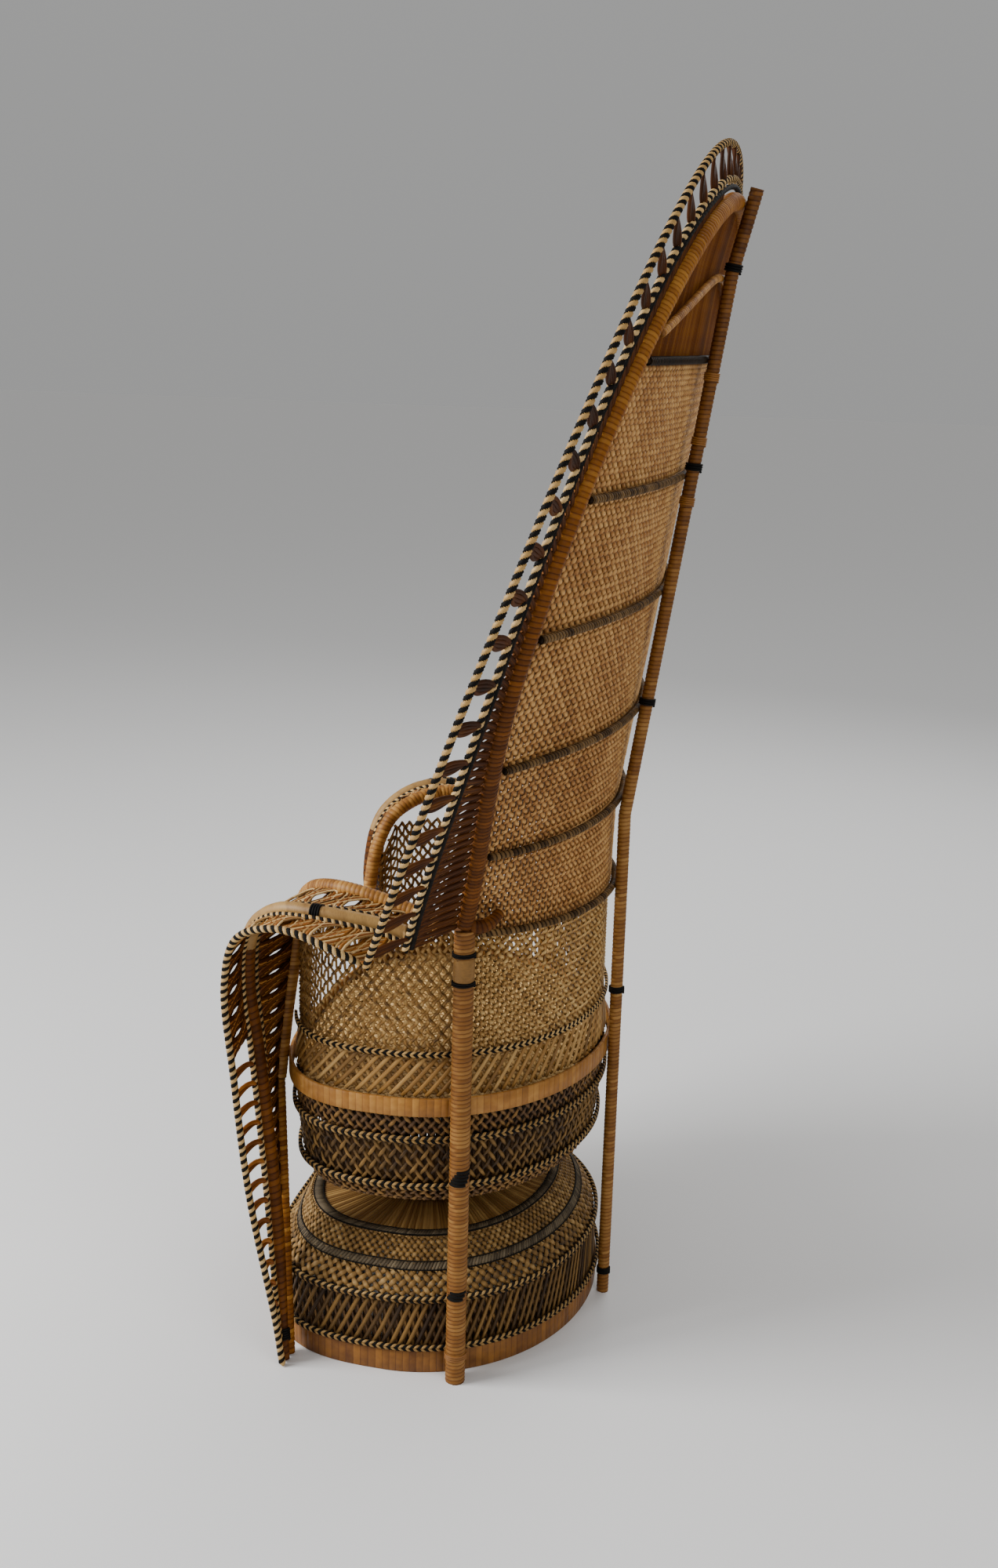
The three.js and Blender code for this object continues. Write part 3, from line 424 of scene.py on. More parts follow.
def on_surface(surface, u, v, lift):
    """Points and normals at places on a surface, lifted off it."""
    e = 0.002
    high, low = np.minimum(v + e, 1), np.maximum(v - e, 0)
    normal = unit(np.cross(surface(u + e, v) - surface(u - e, v), surface(u, high) - surface(u, low)))
    return surface(u, v) + normal * np.reshape(lift, (-1, 1)), normal


def stakes(
    strands, surface, material, count, width, thick, lift,
    lean=0, low=0.0, high=1.0, steps=6, spread=(0.2, 0.8), inside=None, sides=LOZENGE,
):
    """Parallel strands up a surface, each leaning by a share of the way round."""
    for k, tone in enumerate(tones(count, *spread)):
        v = np.linspace(low, high, steps)
        u = k / count + lean * (v - low) / (high - low)
        if inside is not None:
            keep = inside(u, v)
            u, v = u[keep], v[keep]
        if len(v) > 1:
            path, normal = on_surface(surface, u, v, lift)
            wide = width(u, v) if callable(width) else width
            strands.strip(path, normal, tone, material, wide, thick, sides)


WIDER_ON_TOP = 0.2


def weave(
    strands, surface, material, across, rows, width, thick, lift,
    round_=False, inside=None, spread=(0.2, 0.8), sides=LOZENGE, depth=0.3, bead=0.0,
):
    """Two families of slanted strands that pass over and under each other.

    Depth is how much lighter a strand is painted on top, a painted highlight, and darker under, painted
    shade.
    A bead share lays the strands more level where they cross, so that each crossing shows as a bead.
    """
    steps = 8 if bead else 4
    w = np.arange(0, rows * steps + 1) / steps
    level = w - bead * np.sin(4 * math.pi * w) / (4 * math.pi)
    starts = range(across) if round_ else range(-rows, across + rows + 1)
    for way in (1, -1):
        for k in starts:
            u = (k + way * w) / across
            v = level / rows
            keep = np.ones(len(w), bool) if round_ else (u >= 0) & (u <= 1)
            if inside is not None:
                keep &= inside(u, v)
            runs = np.split(np.arange(len(w)), np.flatnonzero(np.diff(keep.astype(int))) + 1)
            for run in runs:
                if not keep[run[0]] or len(run) < 3:
                    continue
                wave = way * lift * np.cos(math.tau * w[run])
                path, normal = on_surface(surface, u[run], v[run], wave)
                wide = width(u[run], v[run]) if callable(width) else width
                wide = wide * (1 + WIDER_ON_TOP * wave / lift)
                # Painted highlight where the strand lies on top, painted shade where it dips under the
                # other family.
                tone = tones(1, *spread)[0] + depth * wave / lift
                strands.strip(path, normal, tone, material, wide, thick, sides)


RING_STEPS = 360
BRAID_PITCH, BRAID_ROW_OUT, BRAID_ROW_RADIUS = 10, 0.5, 0.6


def braid_ring(name, node, inset, z, forward, radius):
    """Two cords side by side round the base, laid opposite ways."""
    strands = Strands()
    path = outline(angle_at(np.arange(RING_STEPS + 1) / RING_STEPS), inset, z, forward)
    path[-1] = path[0]
    way = heading(path[:-1], True)
    way = np.vstack([way, way[:1]])
    up = np.tile([0.0, 0, 1], (RING_STEPS + 1, 1))
    side = np.cross(way, up)
    for sign in (1, -1):
        row = path + (0, 0, sign * radius * BRAID_ROW_OUT)
        plies = ["tan", "black"]
        cord(strands, row, radius * BRAID_ROW_RADIUS, BRAID_PITCH, plies, True, side, up * sign)
    strands.make(name, "braid", node)


STAVE_PITCH = 9
STAVE_PHASES = np.array([0, 0.08, 0.5, 0.92])
STAVE_GROOVE = np.array([0.3, 0, 0, 0])


def stave_band(name, node, low, high, inset, forward, thick, spread):
    """Band of upright peel strips laid edge to edge, smooth but for the joins."""
    strands = Strands()
    count = int(PERIMETER / STAVE_PITCH)
    ring = np.arange(4 * count)
    t = (ring // 4 + STAVE_PHASES[ring % 4]) / count
    depth = inset + thick / 2 + STAVE_GROOVE[ring % 4]
    path = outline(angle_at(t), depth, (low + high) / 2, forward)
    way = heading(path, True)
    # Each join is painted darker: painted shade in the join.
    tone = tones(count, *spread)[ring // 4] - STAVE_GROOVE[ring % 4]
    strands.strip(path, np.cross(way, (0, 0, 1.0)), tone, "peel", high - low, thick, PLAIN_SLAT, True)
    strands.make(name, "peel", node)


# Base.
# The foot band's low tone range is painted shade.
stave_band(
    "base_foot_staves", "base_foot_band",
    low=0, high=FOOT_TOP, inset=0, forward=DRUM_FORWARD, thick=4, spread=(0.1, 0.36),
)
lower = ring_surface((3, FOOT_TOP, DRUM_FORWARD), (8, 107, DRUM_FORWARD), DRUM_HEAD)
course = ring_surface((8, 110, DRUM_FORWARD), DRUM_HEAD)
shoulder, disc = ring_surface(DRUM_HEAD, DISC_EDGE), ring_surface(DISC_EDGE, NECK_FOOT)
neck_wall, upper_floor = ring_surface(NECK_FOOT, NECK_HEAD), ring_surface(NECK_HEAD, FLOOR_EDGE)
upper_foot, upper_head = ring_surface(FLOOR_EDGE, (12, 270, 0)), ring_surface((5, 344, 0), (3, 375, 0))
lattice = ring_surface((12, 274, 0), (5, 336, 0))
behind_lattice = ring_surface((15, 274, 0), (8, 336, 0))
behind_head = ring_surface((8, 344, 0), (6, 375, 0))
drum = Strands()
span = {"low": 0.02, "high": 0.68}
slanted = {"count": 136, **span}
stakes(drum, lower, "olive", lean=0.019, width=5.8, thick=2.8, lift=0.4, spread=(0.0, 0.5), **slanted)
stakes(drum, lower, "brown", lean=-0.019, width=5.2, thick=2.4, lift=-2.6, spread=(0.3, 0.8), **slanted)
stakes(drum, lower, "brown", 122, width=12.5, thick=1.6, lift=-5.0, steps=4, spread=(0.0, 0.4), **span)
weave(
    drum, course, "olive", across=112, rows=2, width=6.4, thick=3.0, lift=1.6,
    round_=True, spread=(0.1, 0.5), sides=ROUND,
)
drum.make("base_lower_weave", "weave", "base_lower_drum")
top = Strands()
weave(
    top, shoulder, "olive", across=138, rows=4, width=5.6, thick=2.4, lift=1.3,
    round_=True, spread=(0.1, 0.5),
)
stakes(
    top, disc, "straw", count=210, width=np.linspace(7.6, 4.4, 6), thick=2.6,
    lift=-0.6, spread=(-0.3, 0.45),
)
top.make("base_lower_strips", "weave", "base_lower_top")

GREY_STRIPS, GREY_LEAN, GREY_LIFT = 300, 0.004, 1.8
GREY_EDGE_STEPS, GREY_EDGE_LIFT = 240, 2.0


def grey_ring(name, node, surface, low, high):
    """Flat band of slanted grey strips on a slope, with a black cord along both edges."""
    strands = Strands()
    u, v = np.linspace(0, GREY_LEAN, 3), np.linspace(low, high, 3)
    for k, tone in enumerate(tones(GREY_STRIPS, 0.3, 0.9)):
        path, normal = on_surface(surface, k / GREY_STRIPS + u, v, GREY_LIFT)
        strands.strip(path, normal, tone, "band", width=5.6, thick=2.2)
    t = np.arange(GREY_EDGE_STEPS) / GREY_EDGE_STEPS
    for v in (low, high):
        path, normal = on_surface(surface, t, np.full_like(t, v), GREY_EDGE_LIFT)
        strands.strip(path, normal, 0.4, "black", width=2.0, thick=2.6, sides=ROUND, closed=True)
    strands.make(name, "grey", node)


grey_ring("base_grey_outer", "base_grey_band_outer", shoulder, low=0.05, high=0.3)
grey_ring("base_grey_inner", "base_grey_band_inner", disc, low=0.03, high=0.16)
neck = Strands()
stakes(neck, neck_wall, "brown", 90, width=9, thick=3, lift=-1.5, lean=0.01, steps=4)
neck.make("base_neck_stakes", "dark", "base_neck")
floor_strips = Strands()
strip_width = np.linspace(5, 10, 5)
stakes(floor_strips, upper_floor, "brown", 150, strip_width, thick=2, lift=0.6, steps=5)
floor_strips.make("base_upper_floor_strips", "weave", "base_upper_floor")
upper = Strands()
plain = {"rows": 2, "width": 4.6, "thick": 2.4, "lift": 1.2, "round_": True}
backing = {"count": 208, "width": 7.0, "thick": 1.6, "lift": -3}
weave(upper, upper_foot, "brown", across=112, **plain)
weave(
    upper, lattice, "olive", across=108, rows=3, width=4.4, thick=2.6, lift=1.4,
    round_=True, spread=(0.0, 0.4), sides=ROUND, depth=0.15,
)
stakes(upper, behind_lattice, "brown", steps=4, spread=(0.2, 0.7), **backing)
weave(upper, upper_head, "brown", across=120, **plain)
stakes(upper, behind_head, "brown", steps=3, spread=(-0.4, 0.2), **backing)
upper.make("base_upper_weave", "weave", "base_upper_drum")
braid_ring("base_braid_foot", "base_braid_low", -2.2, 38, DRUM_FORWARD, radius=4.2)
braid_ring("base_braid_drum", "base_braid_mid", 2.7, 107, DRUM_FORWARD, radius=4.6)
braid_ring("base_braid_lattice_low", "base_upper_braid_low", 6.7, 270, 0, radius=4.6)
braid_ring("base_braid_lattice_high", "base_upper_braid_high", -0.3, 340, 0, radius=4.6)

# Seat: rim band and woven panel with a paler lozenge in the middle.
stave_band(
    "seat_rim_staves", "seat_rim_band",
    low=RIM_BOTTOM, high=RIM_TOP, inset=-RIM_OVERHANG, forward=0, thick=5, spread=(0.4, 0.66),
)
SEAT_HALF, SEAT_CELLS, SEAT_INSET, SEAT_DROP = 300, 52, 6, 4
LOZENGE_BACK, LOZENGE_REACH = 25, 185


def seat_place(u, v):
    return lerp(-SEAT_HALF, SEAT_HALF, u), lerp(-SEAT_HALF, SEAT_HALF, v)


def seat_surface(u, v):
    return np.stack(np.broadcast_arrays(*seat_place(u, v), SEAT_TOP - SEAT_DROP), -1)


def in_seat(u, v):
    x, y = seat_place(u, v)
    across = np.abs(x / (HALF_WIDTH - SEAT_INSET))
    rear = across**2 + (y / (REAR_DEPTH - SEAT_INSET)) ** 2 < 1
    front = across**SQUARENESS + np.abs(y / (FRONT_DEPTH - SEAT_INSET)) ** SQUARENESS < 1
    return np.where(y > 0, rear, front)


def in_seat_middle(u, v):
    x, y = seat_place(u, v)
    return np.abs(x) + np.abs(y - LOZENGE_BACK) < LOZENGE_REACH


def in_seat_edge(u, v):
    return in_seat(u, v) & ~in_seat_middle(u, v)


seat = Strands()
cells = {"across": SEAT_CELLS, "rows": SEAT_CELLS, "width": 6.8, "thick": 3.0, "lift": 1.7}
weave(seat, seat_surface, "cane", inside=in_seat_edge, spread=(0.4, 0.9), **cells)
weave(seat, seat_surface, "straw", inside=in_seat_middle, spread=(0.0, 0.6), **cells)
seat.make("seat_weave", "weave", "seat_panel")

# Posts and spine.
rim_at_post = math.sqrt(1 - (POST_BACK / (REAR_DEPTH + RIM_OVERHANG)) ** 2)
post_x = (HALF_WIDTH + RIM_OVERHANG) * rim_at_post + POST_RADIUS + GAP
post_head = np.array([post_x, POST_BACK, POST_TOP])
spine_back = REAR_DEPTH + RIM_OVERHANG + SPINE_RADIUS + GAP / 2
head_back = FRAME_BACK + FRAME_RADIUS + SPINE_RADIUS + GAP
SPINE_LINE = np.array([
    (0, spine_back, 0), (0, spine_back, SPINE_BEND_Z), (0, head_back - 20, FRAME_TOP_Z - 79),
    (0, head_back, FRAME_TOP_Z), (0, head_back + 4, FRAME_TOP_Z + 16),
], float)
TIE_RISE = 11.8
TIE_HEIGHTS = [WALL_RIB_Z, RIB_HEIGHTS["c"], RIB_HEIGHTS["e"], INNER_ARCH_TOP]
SPINE_WRAPS = {34: "black", 1140: "peel", 1215: "peel", 1294: "peel"}


def spine_y(z):
    return np.interp(z, SPINE_LINE[:, 2], SPINE_LINE[:, 1])


COIL_STEPS, COIL_PITCH, COIL_OUT = 14, 0.95, 0.4


def coil(strands, centre, along, material, radius, turns, wire):
    """Binding wound round a pole."""
    along = unit(np.array(along, float))
    side = unit(np.cross(along, (0.3, 0.2, 0.9) if abs(along[2]) < UPRIGHT else (1.0, 0, 0)))
    up = np.cross(along, side)
    turn = np.linspace(0, math.tau * turns, turns * COIL_STEPS + 1)
    out = side * np.cos(turn)[:, None] + up * np.sin(turn)[:, None]
    rise = (turn / math.tau - turns / 2) * wire * COIL_PITCH
    path = np.array(centre) + out * (radius + wire * COIL_OUT) + along * rise[:, None]
    strands.strip(path, out, 0.4, material, wire, wire, ROUND)


def spine_coil(strands, z, material, radius, turns, wire):
    slope = (0, float(spine_y(z + 5) - spine_y(z - 5)), 10)
    coil(strands, (0, float(spine_y(z)), z), slope, material, radius, turns, wire)


spine = Strands()
# Painted shade: the spine's tone drops towards its top.
spine_painted_shade = -0.3 * smooth(SPINE_LINE[:, 2], 900, 1400)
wrapped(
    spine, SPINE_LINE, "post", SPINE_RADIUS, pitch=5.6,
    sides=10, ridge=0.6, spread=(0.4, 0.7), painted_shading=spine_painted_shade,
)
spine.make("spine_wrap", "peel", "spine_pole")
for number, tie_z in enumerate(TIE_HEIGHTS, 1):
    binding = Strands()
    spine_coil(binding, tie_z + TIE_RISE, "black", SPINE_RADIUS, turns=3, wire=3.2)
    binding.make(f"spine_binding_{number}", "dark", f"spine_tie_{number}")
spine_wraps = Strands()
for z, material in SPINE_WRAPS.items():
    spine_coil(spine_wraps, z, material, SPINE_RADIUS - 0.6, turns=4, wire=2.6)
spine_wraps.make("spine_peel_bindings", "peel")

# Fan border.
ARCH_STEPS = 144


def arch(foot, top, half_width, widest, out, up, bow):
    t = np.linspace(0, 1, 200)[:, None]
    a, b = np.array([foot[0], foot[2]]), np.array([foot[0] + out, foot[2] + up])
    c, d = np.array([half_width, widest - up]), np.array([half_width, widest])
    rising = a * (1 - t) ** 3 + 3 * b * t * (1 - t) ** 2 + 3 * c * t**2 * (1 - t) + d * t**3
    angle = np.linspace(0, math.pi / 2, 200)[1:, None]
    closing = np.hstack([half_width * np.cos(angle), lerp(widest, top[2], np.sin(angle))])
    left = np.vstack([rising, closing])
    share = (left[:, 1] - foot[2]) / (top[2] - foot[2])
    y = lerp(foot[1], top[1], share * (1 + bow * (1 - share)))
    left = np.stack([left[:, 0], y, left[:, 1]], -1)
    right = left[-2::-1] * (-1, 1, 1)
    return resampled(np.vstack([left, right]), ARCH_STEPS)


frame_path = arch(
    post_head + (0, 0, 5), (0, FRAME_BACK, FRAME_TOP_Z), FRAME_HALF_WIDTH, FRAME_WIDEST_Z,
    out=30, up=124, bow=-0.2,
)
outer_path = arch(
    post_head + BORDER_FOOT, (0, FRAME_BACK - BORDER_TOP_FORWARD, FRAME_TOP_Z + BORDER_TOP_RISE),
    FRAME_HALF_WIDTH + BORDER_SIDE, FRAME_WIDEST_Z + BORDER_WIDEST_RISE, out=80, up=130, bow=0.3,
)
reach = np.linalg.norm(outer_path - frame_path, axis=1)
outward = unit(outer_path - frame_path)
rise = 2 * np.minimum(np.arange(ARCH_STEPS + 1), ARCH_STEPS - np.arange(ARCH_STEPS + 1)) / ARCH_STEPS
EYES_AT_FOOT, EYES_AT_TOP, EYES_CLOSING = 54, 40, 1.4
inner_at = reach - lerp(EYES_AT_FOOT, EYES_AT_TOP, np.minimum(1, rise * EYES_CLOSING))
dark_at = inner_at - CORD_RADIUS - GAP - DARK_POLE_RADIUS
inner_path = frame_path + outward * inner_at[:, None]
dark_path = frame_path + outward * dark_at[:, None]
fan_normal = unit(np.cross(np.gradient(frame_path, axis=0), outward))

fan_frame = Strands()
# Painted shade on the frame pole through its low tones, with painted light brightening it towards the top.
frame_painted_light = 0.45 * smooth(frame_path[:, 2], 850, 1380)
wrapped(
    fan_frame, frame_path, "orange", FRAME_RADIUS, pitch=6,
    ridge=0.6, spread=(0.05, 0.3), groove_shade=0.28, painted_shading=frame_painted_light,
)
fan_frame.make("fan_frame_wrap", "peel", "fan_frame_pole")
for name, path, radius in (("outer", outer_path, 4.8), ("inner", inner_path, 4.4)):
    braid = Strands()
    cord(braid, path, radius, pitch=15)
    braid.make(f"fan_{name}_braid", "braid", f"fan_{name}_cord")
dark_pole = Strands()
wrapped(dark_pole, dark_path, "black", DARK_POLE_RADIUS, pitch=9, sides=8, ridge=0.3)
dark_pole.make("fan_dark_wrap", "dark", "fan_dark_pole")


def eyes(strands, near, far, normal, pitch, material, bow_width, plies, rise=0):
    """Row of lenses between two cords, each of bowed strands that cross the gap."""
    count = max(2, round(arc_lengths((near + far) / 2)[-1] / pitch))
    t = np.linspace(0, 1, 9)
    for k in range(count):
        at = (k + 0.5) / count
        a, b, face = path_at(near, at), path_at(far, at), path_at(normal, at)
        along = unit(path_at(far, at + 0.01) - path_at(far, at - 0.01))
        for share in np.linspace(-1, 1, plies):
            bow = (share * bow_width + rise) * np.sin(math.pi * t) ** 0.6
            lift = share * 1.6 * np.cos(math.pi * t)
            path = lerp(a, b, t[:, None]) + along * bow[:, None] + face * lift[:, None]
            tone = tones(1, 0.15, 0.6)[0]
            strands.strip(path, face, tone, material, width=5.6, thick=4.4, sides=ROUND)


def scallops(strands, near, normal, depth, pitch, material):
    """Arcs from loop to loop beside a cord."""
    count = max(2, round(arc_lengths(near)[-1] / pitch))
    t = np.linspace(0, 1, 11)
    for k in range(count - 1):
        at = (k + 0.5 + t) / count
        path = path_at(near, at) + path_at(depth, at) * np.sin(math.pi * t)[:, None]
        face = path_at(normal, at)
        strands.strip(path, face, tones(1)[0], material, width=4.2, thick=3.6, sides=ROUND)


fan_scroll = Strands()
FAN_PITCH, SCALLOP_DEPTH, SCALLOP_CLEAR = 50, 11, 4
eyes(fan_scroll, inner_path, outer_path, fan_normal, FAN_PITCH, "scroll", bow_width=7, plies=4)
scallop_room = np.clip(inner_at - FRAME_RADIUS - SCALLOP_CLEAR, 0, SCALLOP_DEPTH)
scallops(fan_scroll, inner_path, fan_normal, -outward * scallop_room[:, None], FAN_PITCH, "tan")
fan_scroll.make("fan_scroll_loops", "dark", "fan_scroll")

INFILL_PITCH, INFILL_PLIES, INFILL_PLY_SHIFT, INFILL_LIFT, INFILL_LEAST = 26, 3, 0.08, 1.2, 4


def infill(hand, part):
    """Reeds that turn to and fro between the frame pole and the dark pole."""
    strands = Strands()
    a = frame_path[part] + outward[part] * (FRAME_RADIUS + 1)
    b = dark_path[part]
    waves = arc_lengths((a + b) / 2)[-1] / INFILL_PITCH
    t = np.linspace(0, 1, int(waves * 10))
    normal = path_at(fan_normal[part], t)
    for phase in (0, 0.5):
        lift = INFILL_LIFT * np.cos(math.tau * (waves * t + phase))
        for ply in range(INFILL_PLIES):
            share = 0.5 + 0.5 * np.sin(math.tau * (waves * t + phase + ply * INFILL_PLY_SHIFT))
            path = lerp(path_at(a, t), path_at(b, t), share[:, None]) + normal * lift[:, None]
            tone = tones(1, 0.15, 0.6)[0]
            strands.strip(path, normal, tone, "scroll", width=5.2, thick=2.6)
    strands.make(f"fan_infill_reeds_{hand}", "dark", f"fan_infill_{hand}")


wide_apart = int(np.argmax(dark_at - DARK_POLE_RADIUS - FRAME_RADIUS < INFILL_LEAST))
infill("left", slice(0, wide_apart))
infill("right", slice(ARCH_STEPS, ARCH_STEPS - wide_apart, -1))

# Woven shell: x and y at a height, for a share of its half width.
half_frame = frame_path[:ARCH_STEPS // 2 + 1]
wall_back = REAR_DEPTH - SHELL_INSET
wall_edge_angle = math.asin(POST_BACK / wall_back)
wall_edge = outline(wall_edge_angle, SHELL_INSET, 0)
SPINE_TO_SHELL = SPINE_RADIUS + 2 * RIB_RADIUS + SHELL_HALF_THICK + RIB_CLEAR + GAP
SHARES = np.linspace(0, 1, 65)
BOW_LOW, BOW_HIGH, FLARE_HIGH, SHELL_EDGE_INSET = 640, 900, 700, 4


def shell_row(z):
    """Points of the left half of the shell at one height."""
    order = np.argsort(half_frame[:, 2])
    edge_x = np.interp(z, half_frame[order, 2], half_frame[order, 0]) - SHELL_EDGE_INSET
    edge_frame_y = np.interp(z, half_frame[order, 2], half_frame[order, 1])
    bow, flare = smooth(z, BOW_LOW, BOW_HIGH), smooth(z, WALL_TOP, FLARE_HIGH)
    oval = outline(lerp(math.pi / 2, wall_edge_angle, SHARES), SHELL_INSET, z)
    back = spine_y(z) - SPINE_TO_SHELL
    edge_x = lerp(wall_edge[0], edge_x, flare)
    edge_y = lerp(wall_edge[1], edge_frame_y, flare)
    oval_x = oval[:, 0] / wall_edge[0] * edge_x
    oval_y = lerp(edge_y, back, (oval[:, 1] - wall_edge[1]) / (wall_back - wall_edge[1]))
    x = lerp(oval_x, edge_x * SHARES, bow)
    y = lerp(oval_y, lerp(back, edge_y, SHARES**2), bow)
    return x, y


SHELL_LOW, SHELL_HIGH = WALL_TOP, FRAME_TOP_Z - 6
SHELL_Z = np.linspace(SHELL_LOW, SHELL_HIGH, 160)
SHELL_STEP = 2
SHELL_S = np.arange(0, 520, SHELL_STEP)


def shell_table():
    """Points of the shell by height and distance from the middle round it, and each row's length."""
    rows, lengths = [], []
    for z in SHELL_Z:
        x, y = shell_row(z)
        s = arc_lengths(np.stack([x, y, np.zeros_like(x)], -1))
        rows.append(np.stack([np.interp(SHELL_S, s, x), np.interp(SHELL_S, s, y)], -1))
        lengths.append(s[-1])
    return np.array(rows), np.array(lengths)


SHELL_TABLE, SHELL_LENGTHS = shell_table()
SHELL_SPREAD = np.maximum.accumulate(SHELL_LENGTHS)


def shell_at(z, s):
    i = np.clip((z - SHELL_LOW) / (SHELL_HIGH - SHELL_LOW), 0, 1) * (len(SHELL_Z) - 1.001)
    j = np.clip(np.abs(s) / SHELL_STEP, 0, len(SHELL_S) - 1.001)
    low, near = i.astype(int), j.astype(int)
    a, b = (i - low)[..., None], (j - near)[..., None]
    rows = [lerp(SHELL_TABLE[low, k], SHELL_TABLE[low + 1, k], a) for k in (near, near + 1)]
    xy = lerp(rows[0], rows[1], b)
    return np.stack([xy[..., 0] * np.where(s < 0, -1, 1), xy[..., 1], z], -1)


FAN_CELLS, FAN_ROWS, FAN_CLOSING = 58, 64, 0.16
FAN_BANDS = {"low": (0, 19.25), "middle": (19.25, 35.25), "high": (35.25, 49)}
PANEL_LOW = FAN_BANDS["high"][1] / FAN_ROWS
SAME = 1e-6


def fan_place(u, v):
    """Height and distance from the middle; the rows close up towards the top."""
    z = lerp(SHELL_LOW, SHELL_HIGH, v * (1 + FAN_CLOSING - FAN_CLOSING * v))
    return z, (1 - 2 * u) * np.interp(z, SHELL_Z, SHELL_SPREAD)


def fan_surface(u, v):
    return shell_at(*fan_place(u, v))


def fan_width(u, v):
    return lerp(4.6, 6.6, smooth(v, 0.05, 0.5))


def fan_stake_width(u, v):
    return lerp(2.4, 5.0, smooth(v, 0.06, 0.4))


def in_fan(low, high):
    def inside(u, v):
        z, s = fan_place(u, v)
        on_shell = np.abs(s) <= np.interp(z, SHELL_Z, SHELL_LENGTHS)
        return on_shell & (v >= low - SAME) & (v <= high + SAME)

    return inside


for band, (first_row, last_row) in FAN_BANDS.items():
    fan_weave = Strands()
    low, high = first_row / FAN_ROWS, last_row / FAN_ROWS
    inside = in_fan(low, high)
    weave(
        fan_weave, fan_surface, "weave", FAN_CELLS, FAN_ROWS, fan_width, thick=3.8, lift=2.0,
        inside=inside, spread=(0.3, 0.6), depth=0.4, bead=0.85,
    )
    stakes(
        fan_weave, fan_surface, "brown", 2 * FAN_CELLS, fan_stake_width, thick=1.2, lift=0,
        low=low, high=high, steps=24, spread=(-0.1, 0.3), inside=inside,
    )
    fan_weave.make(f"fan_weave_{band}", "weave", "fan_shell")
panel = Strands()
stakes(
    panel, fan_surface, "panel", 2 * FAN_CELLS, width=9.2, thick=2.4, lift=0, low=PANEL_LOW,
    steps=30, spread=(0.35, 0.65), inside=in_fan(PANEL_LOW, 1), sides=PLAIN_SLAT,
)
panel.make("fan_panel_top", "peel", "fan_shell")


def shell_line(height, reach_share, lift):
    """Line on the back of the shell at a height given by the share of the half width."""
    share = np.linspace(reach_share, -reach_share, 121)
    z = height(share)
    path = shell_at(z, share * np.interp(z, SHELL_Z, SHELL_LENGTHS))
    way = heading(path)
    back = unit(np.cross(way, (0, 0, 1.0)))
    return path + back * np.sign(back[:, 1:2]) * lift


RIB_LIFT = SHELL_HALF_THICK + RIB_RADIUS + RIB_CLEAR
RIB_REACH, ARCH_REACH = 0.97, 0.95
for rib, z in RIB_HEIGHTS.items():
    strands = Strands()
    line = shell_line(lambda share: np.full_like(share, z), RIB_REACH, RIB_LIFT)
    # Rib f gets much lower tones than the other ribs: painted shade.
    spread = (-0.1, 0.2) if rib == "f" else (0.4, 0.8)
    wrapped(strands, line, "rib", 4.8, pitch=6.6, sides=8, ridge=1.4, spread=spread, groove_shade=0.65)
    strands.make(f"shell_rib_wrap_{rib}", "grey", f"shell_rib_{rib}")
inner_arch = Strands()
arch_line = shell_line(lambda share: INNER_ARCH_TOP - INNER_ARCH_DROP * share**2, ARCH_REACH, RIB_LIFT)
wrapped(inner_arch, arch_line, "peel", 5, pitch=5.6, sides=8, ridge=0.4)
inner_arch.make("shell_inner_arch_wrap", "peel", "shell_inner_arch")

# Low wall behind and beside the seat.
POST_CLEAR, POST_FOOT_DROP = 2.6, 13.5
BRAID_SUNK, LEG_CLEAR, LEG_FOOT_Z = 3, 7, 3
post_offset = RIM_OVERHANG + ARM_INNER_RADIUS + POST_CLEAR
post_foot = outline(np.array(ARM_POST_ANGLE), -post_offset, RIM_BOTTOM - POST_FOOT_DROP)
arm_front = np.array([post_foot[0], post_foot[1], RIM_TOP])
leg_offset = 2 * BRAID_RADIUS + GAP - BRAID_SUNK + LEG_RADIUS + LEG_CLEAR
leg_foot = outline(np.array(LEG_ANGLE), -leg_offset, LEG_FOOT_Z, DRUM_FORWARD)
mid_foot = leg_foot + (LEG_RADIUS + GAP + ARM_FOOT_RADIUS, 0, 0)
outer_foot = mid_foot + (ARM_FOOT_RADIUS + GAP + CORD_RADIUS, 0, 0)
ARM_STEPS = 96


def arm_line(first, route):
    """Curve from its first points, past places given from the arm's front, to places at the post."""
    front, rear = (np.array(places, float) for places in route)
    return catmull([*first, *(arm_front + front), *(post_head + rear)], ARM_STEPS)


arm_inner = arm_line([post_foot], ARM_INNER)
arm_mid = arm_line([mid_foot], ARM_MID)
arm_outer = arm_line([outer_foot], ARM_OUTER)
inner_edge = arm_line([leg_foot, post_foot], ARM_INNER)
mid_radius = lerp(ARM_FOOT_RADIUS, ARM_MID_RADIUS, smooth(arm_mid[:, 2], 0, 200))
arm_above = arm_inner[arm_inner[:, 2] > RIM_TOP]
WALL_INSETS = (3, SHELL_INSET, SHELL_INSET)
WALL_ROWS = np.array([RIM_TOP + GAP / 2, WALL_RIB_Z, WALL_TOP])
WALL_HEAD_CLEAR, WALL_FRONT_DROP, WALL_RAISED = 4, 40, 10
SIDE_STEPS = 48
SIDE_ANGLES = np.linspace(wall_edge_angle, ARM_POST_ANGLE + 0.05, SIDE_STEPS + 1)


def side_column(angle, share):
    """Foot, rib and top points of the side wall, whose top follows the arm."""
    column = np.stack([outline(np.array(angle), i, z) for i, z in zip(WALL_INSETS, WALL_ROWS)])
    head = arm_above[np.argmin(np.abs(arm_above[:, 1] - column[2, 1]))]
    clear = ARM_INNER_RADIUS + WALL_HEAD_CLEAR + WALL_FRONT_DROP * smooth(share, 0.7, 1) - WALL_RAISED
    column[2, 0] = lerp(column[2, 0], min(column[2, 0], head[0]), smooth(share, 0, 0.6))
    column[2, 2] = min(WALL_TOP, head[2] - clear)
    return column


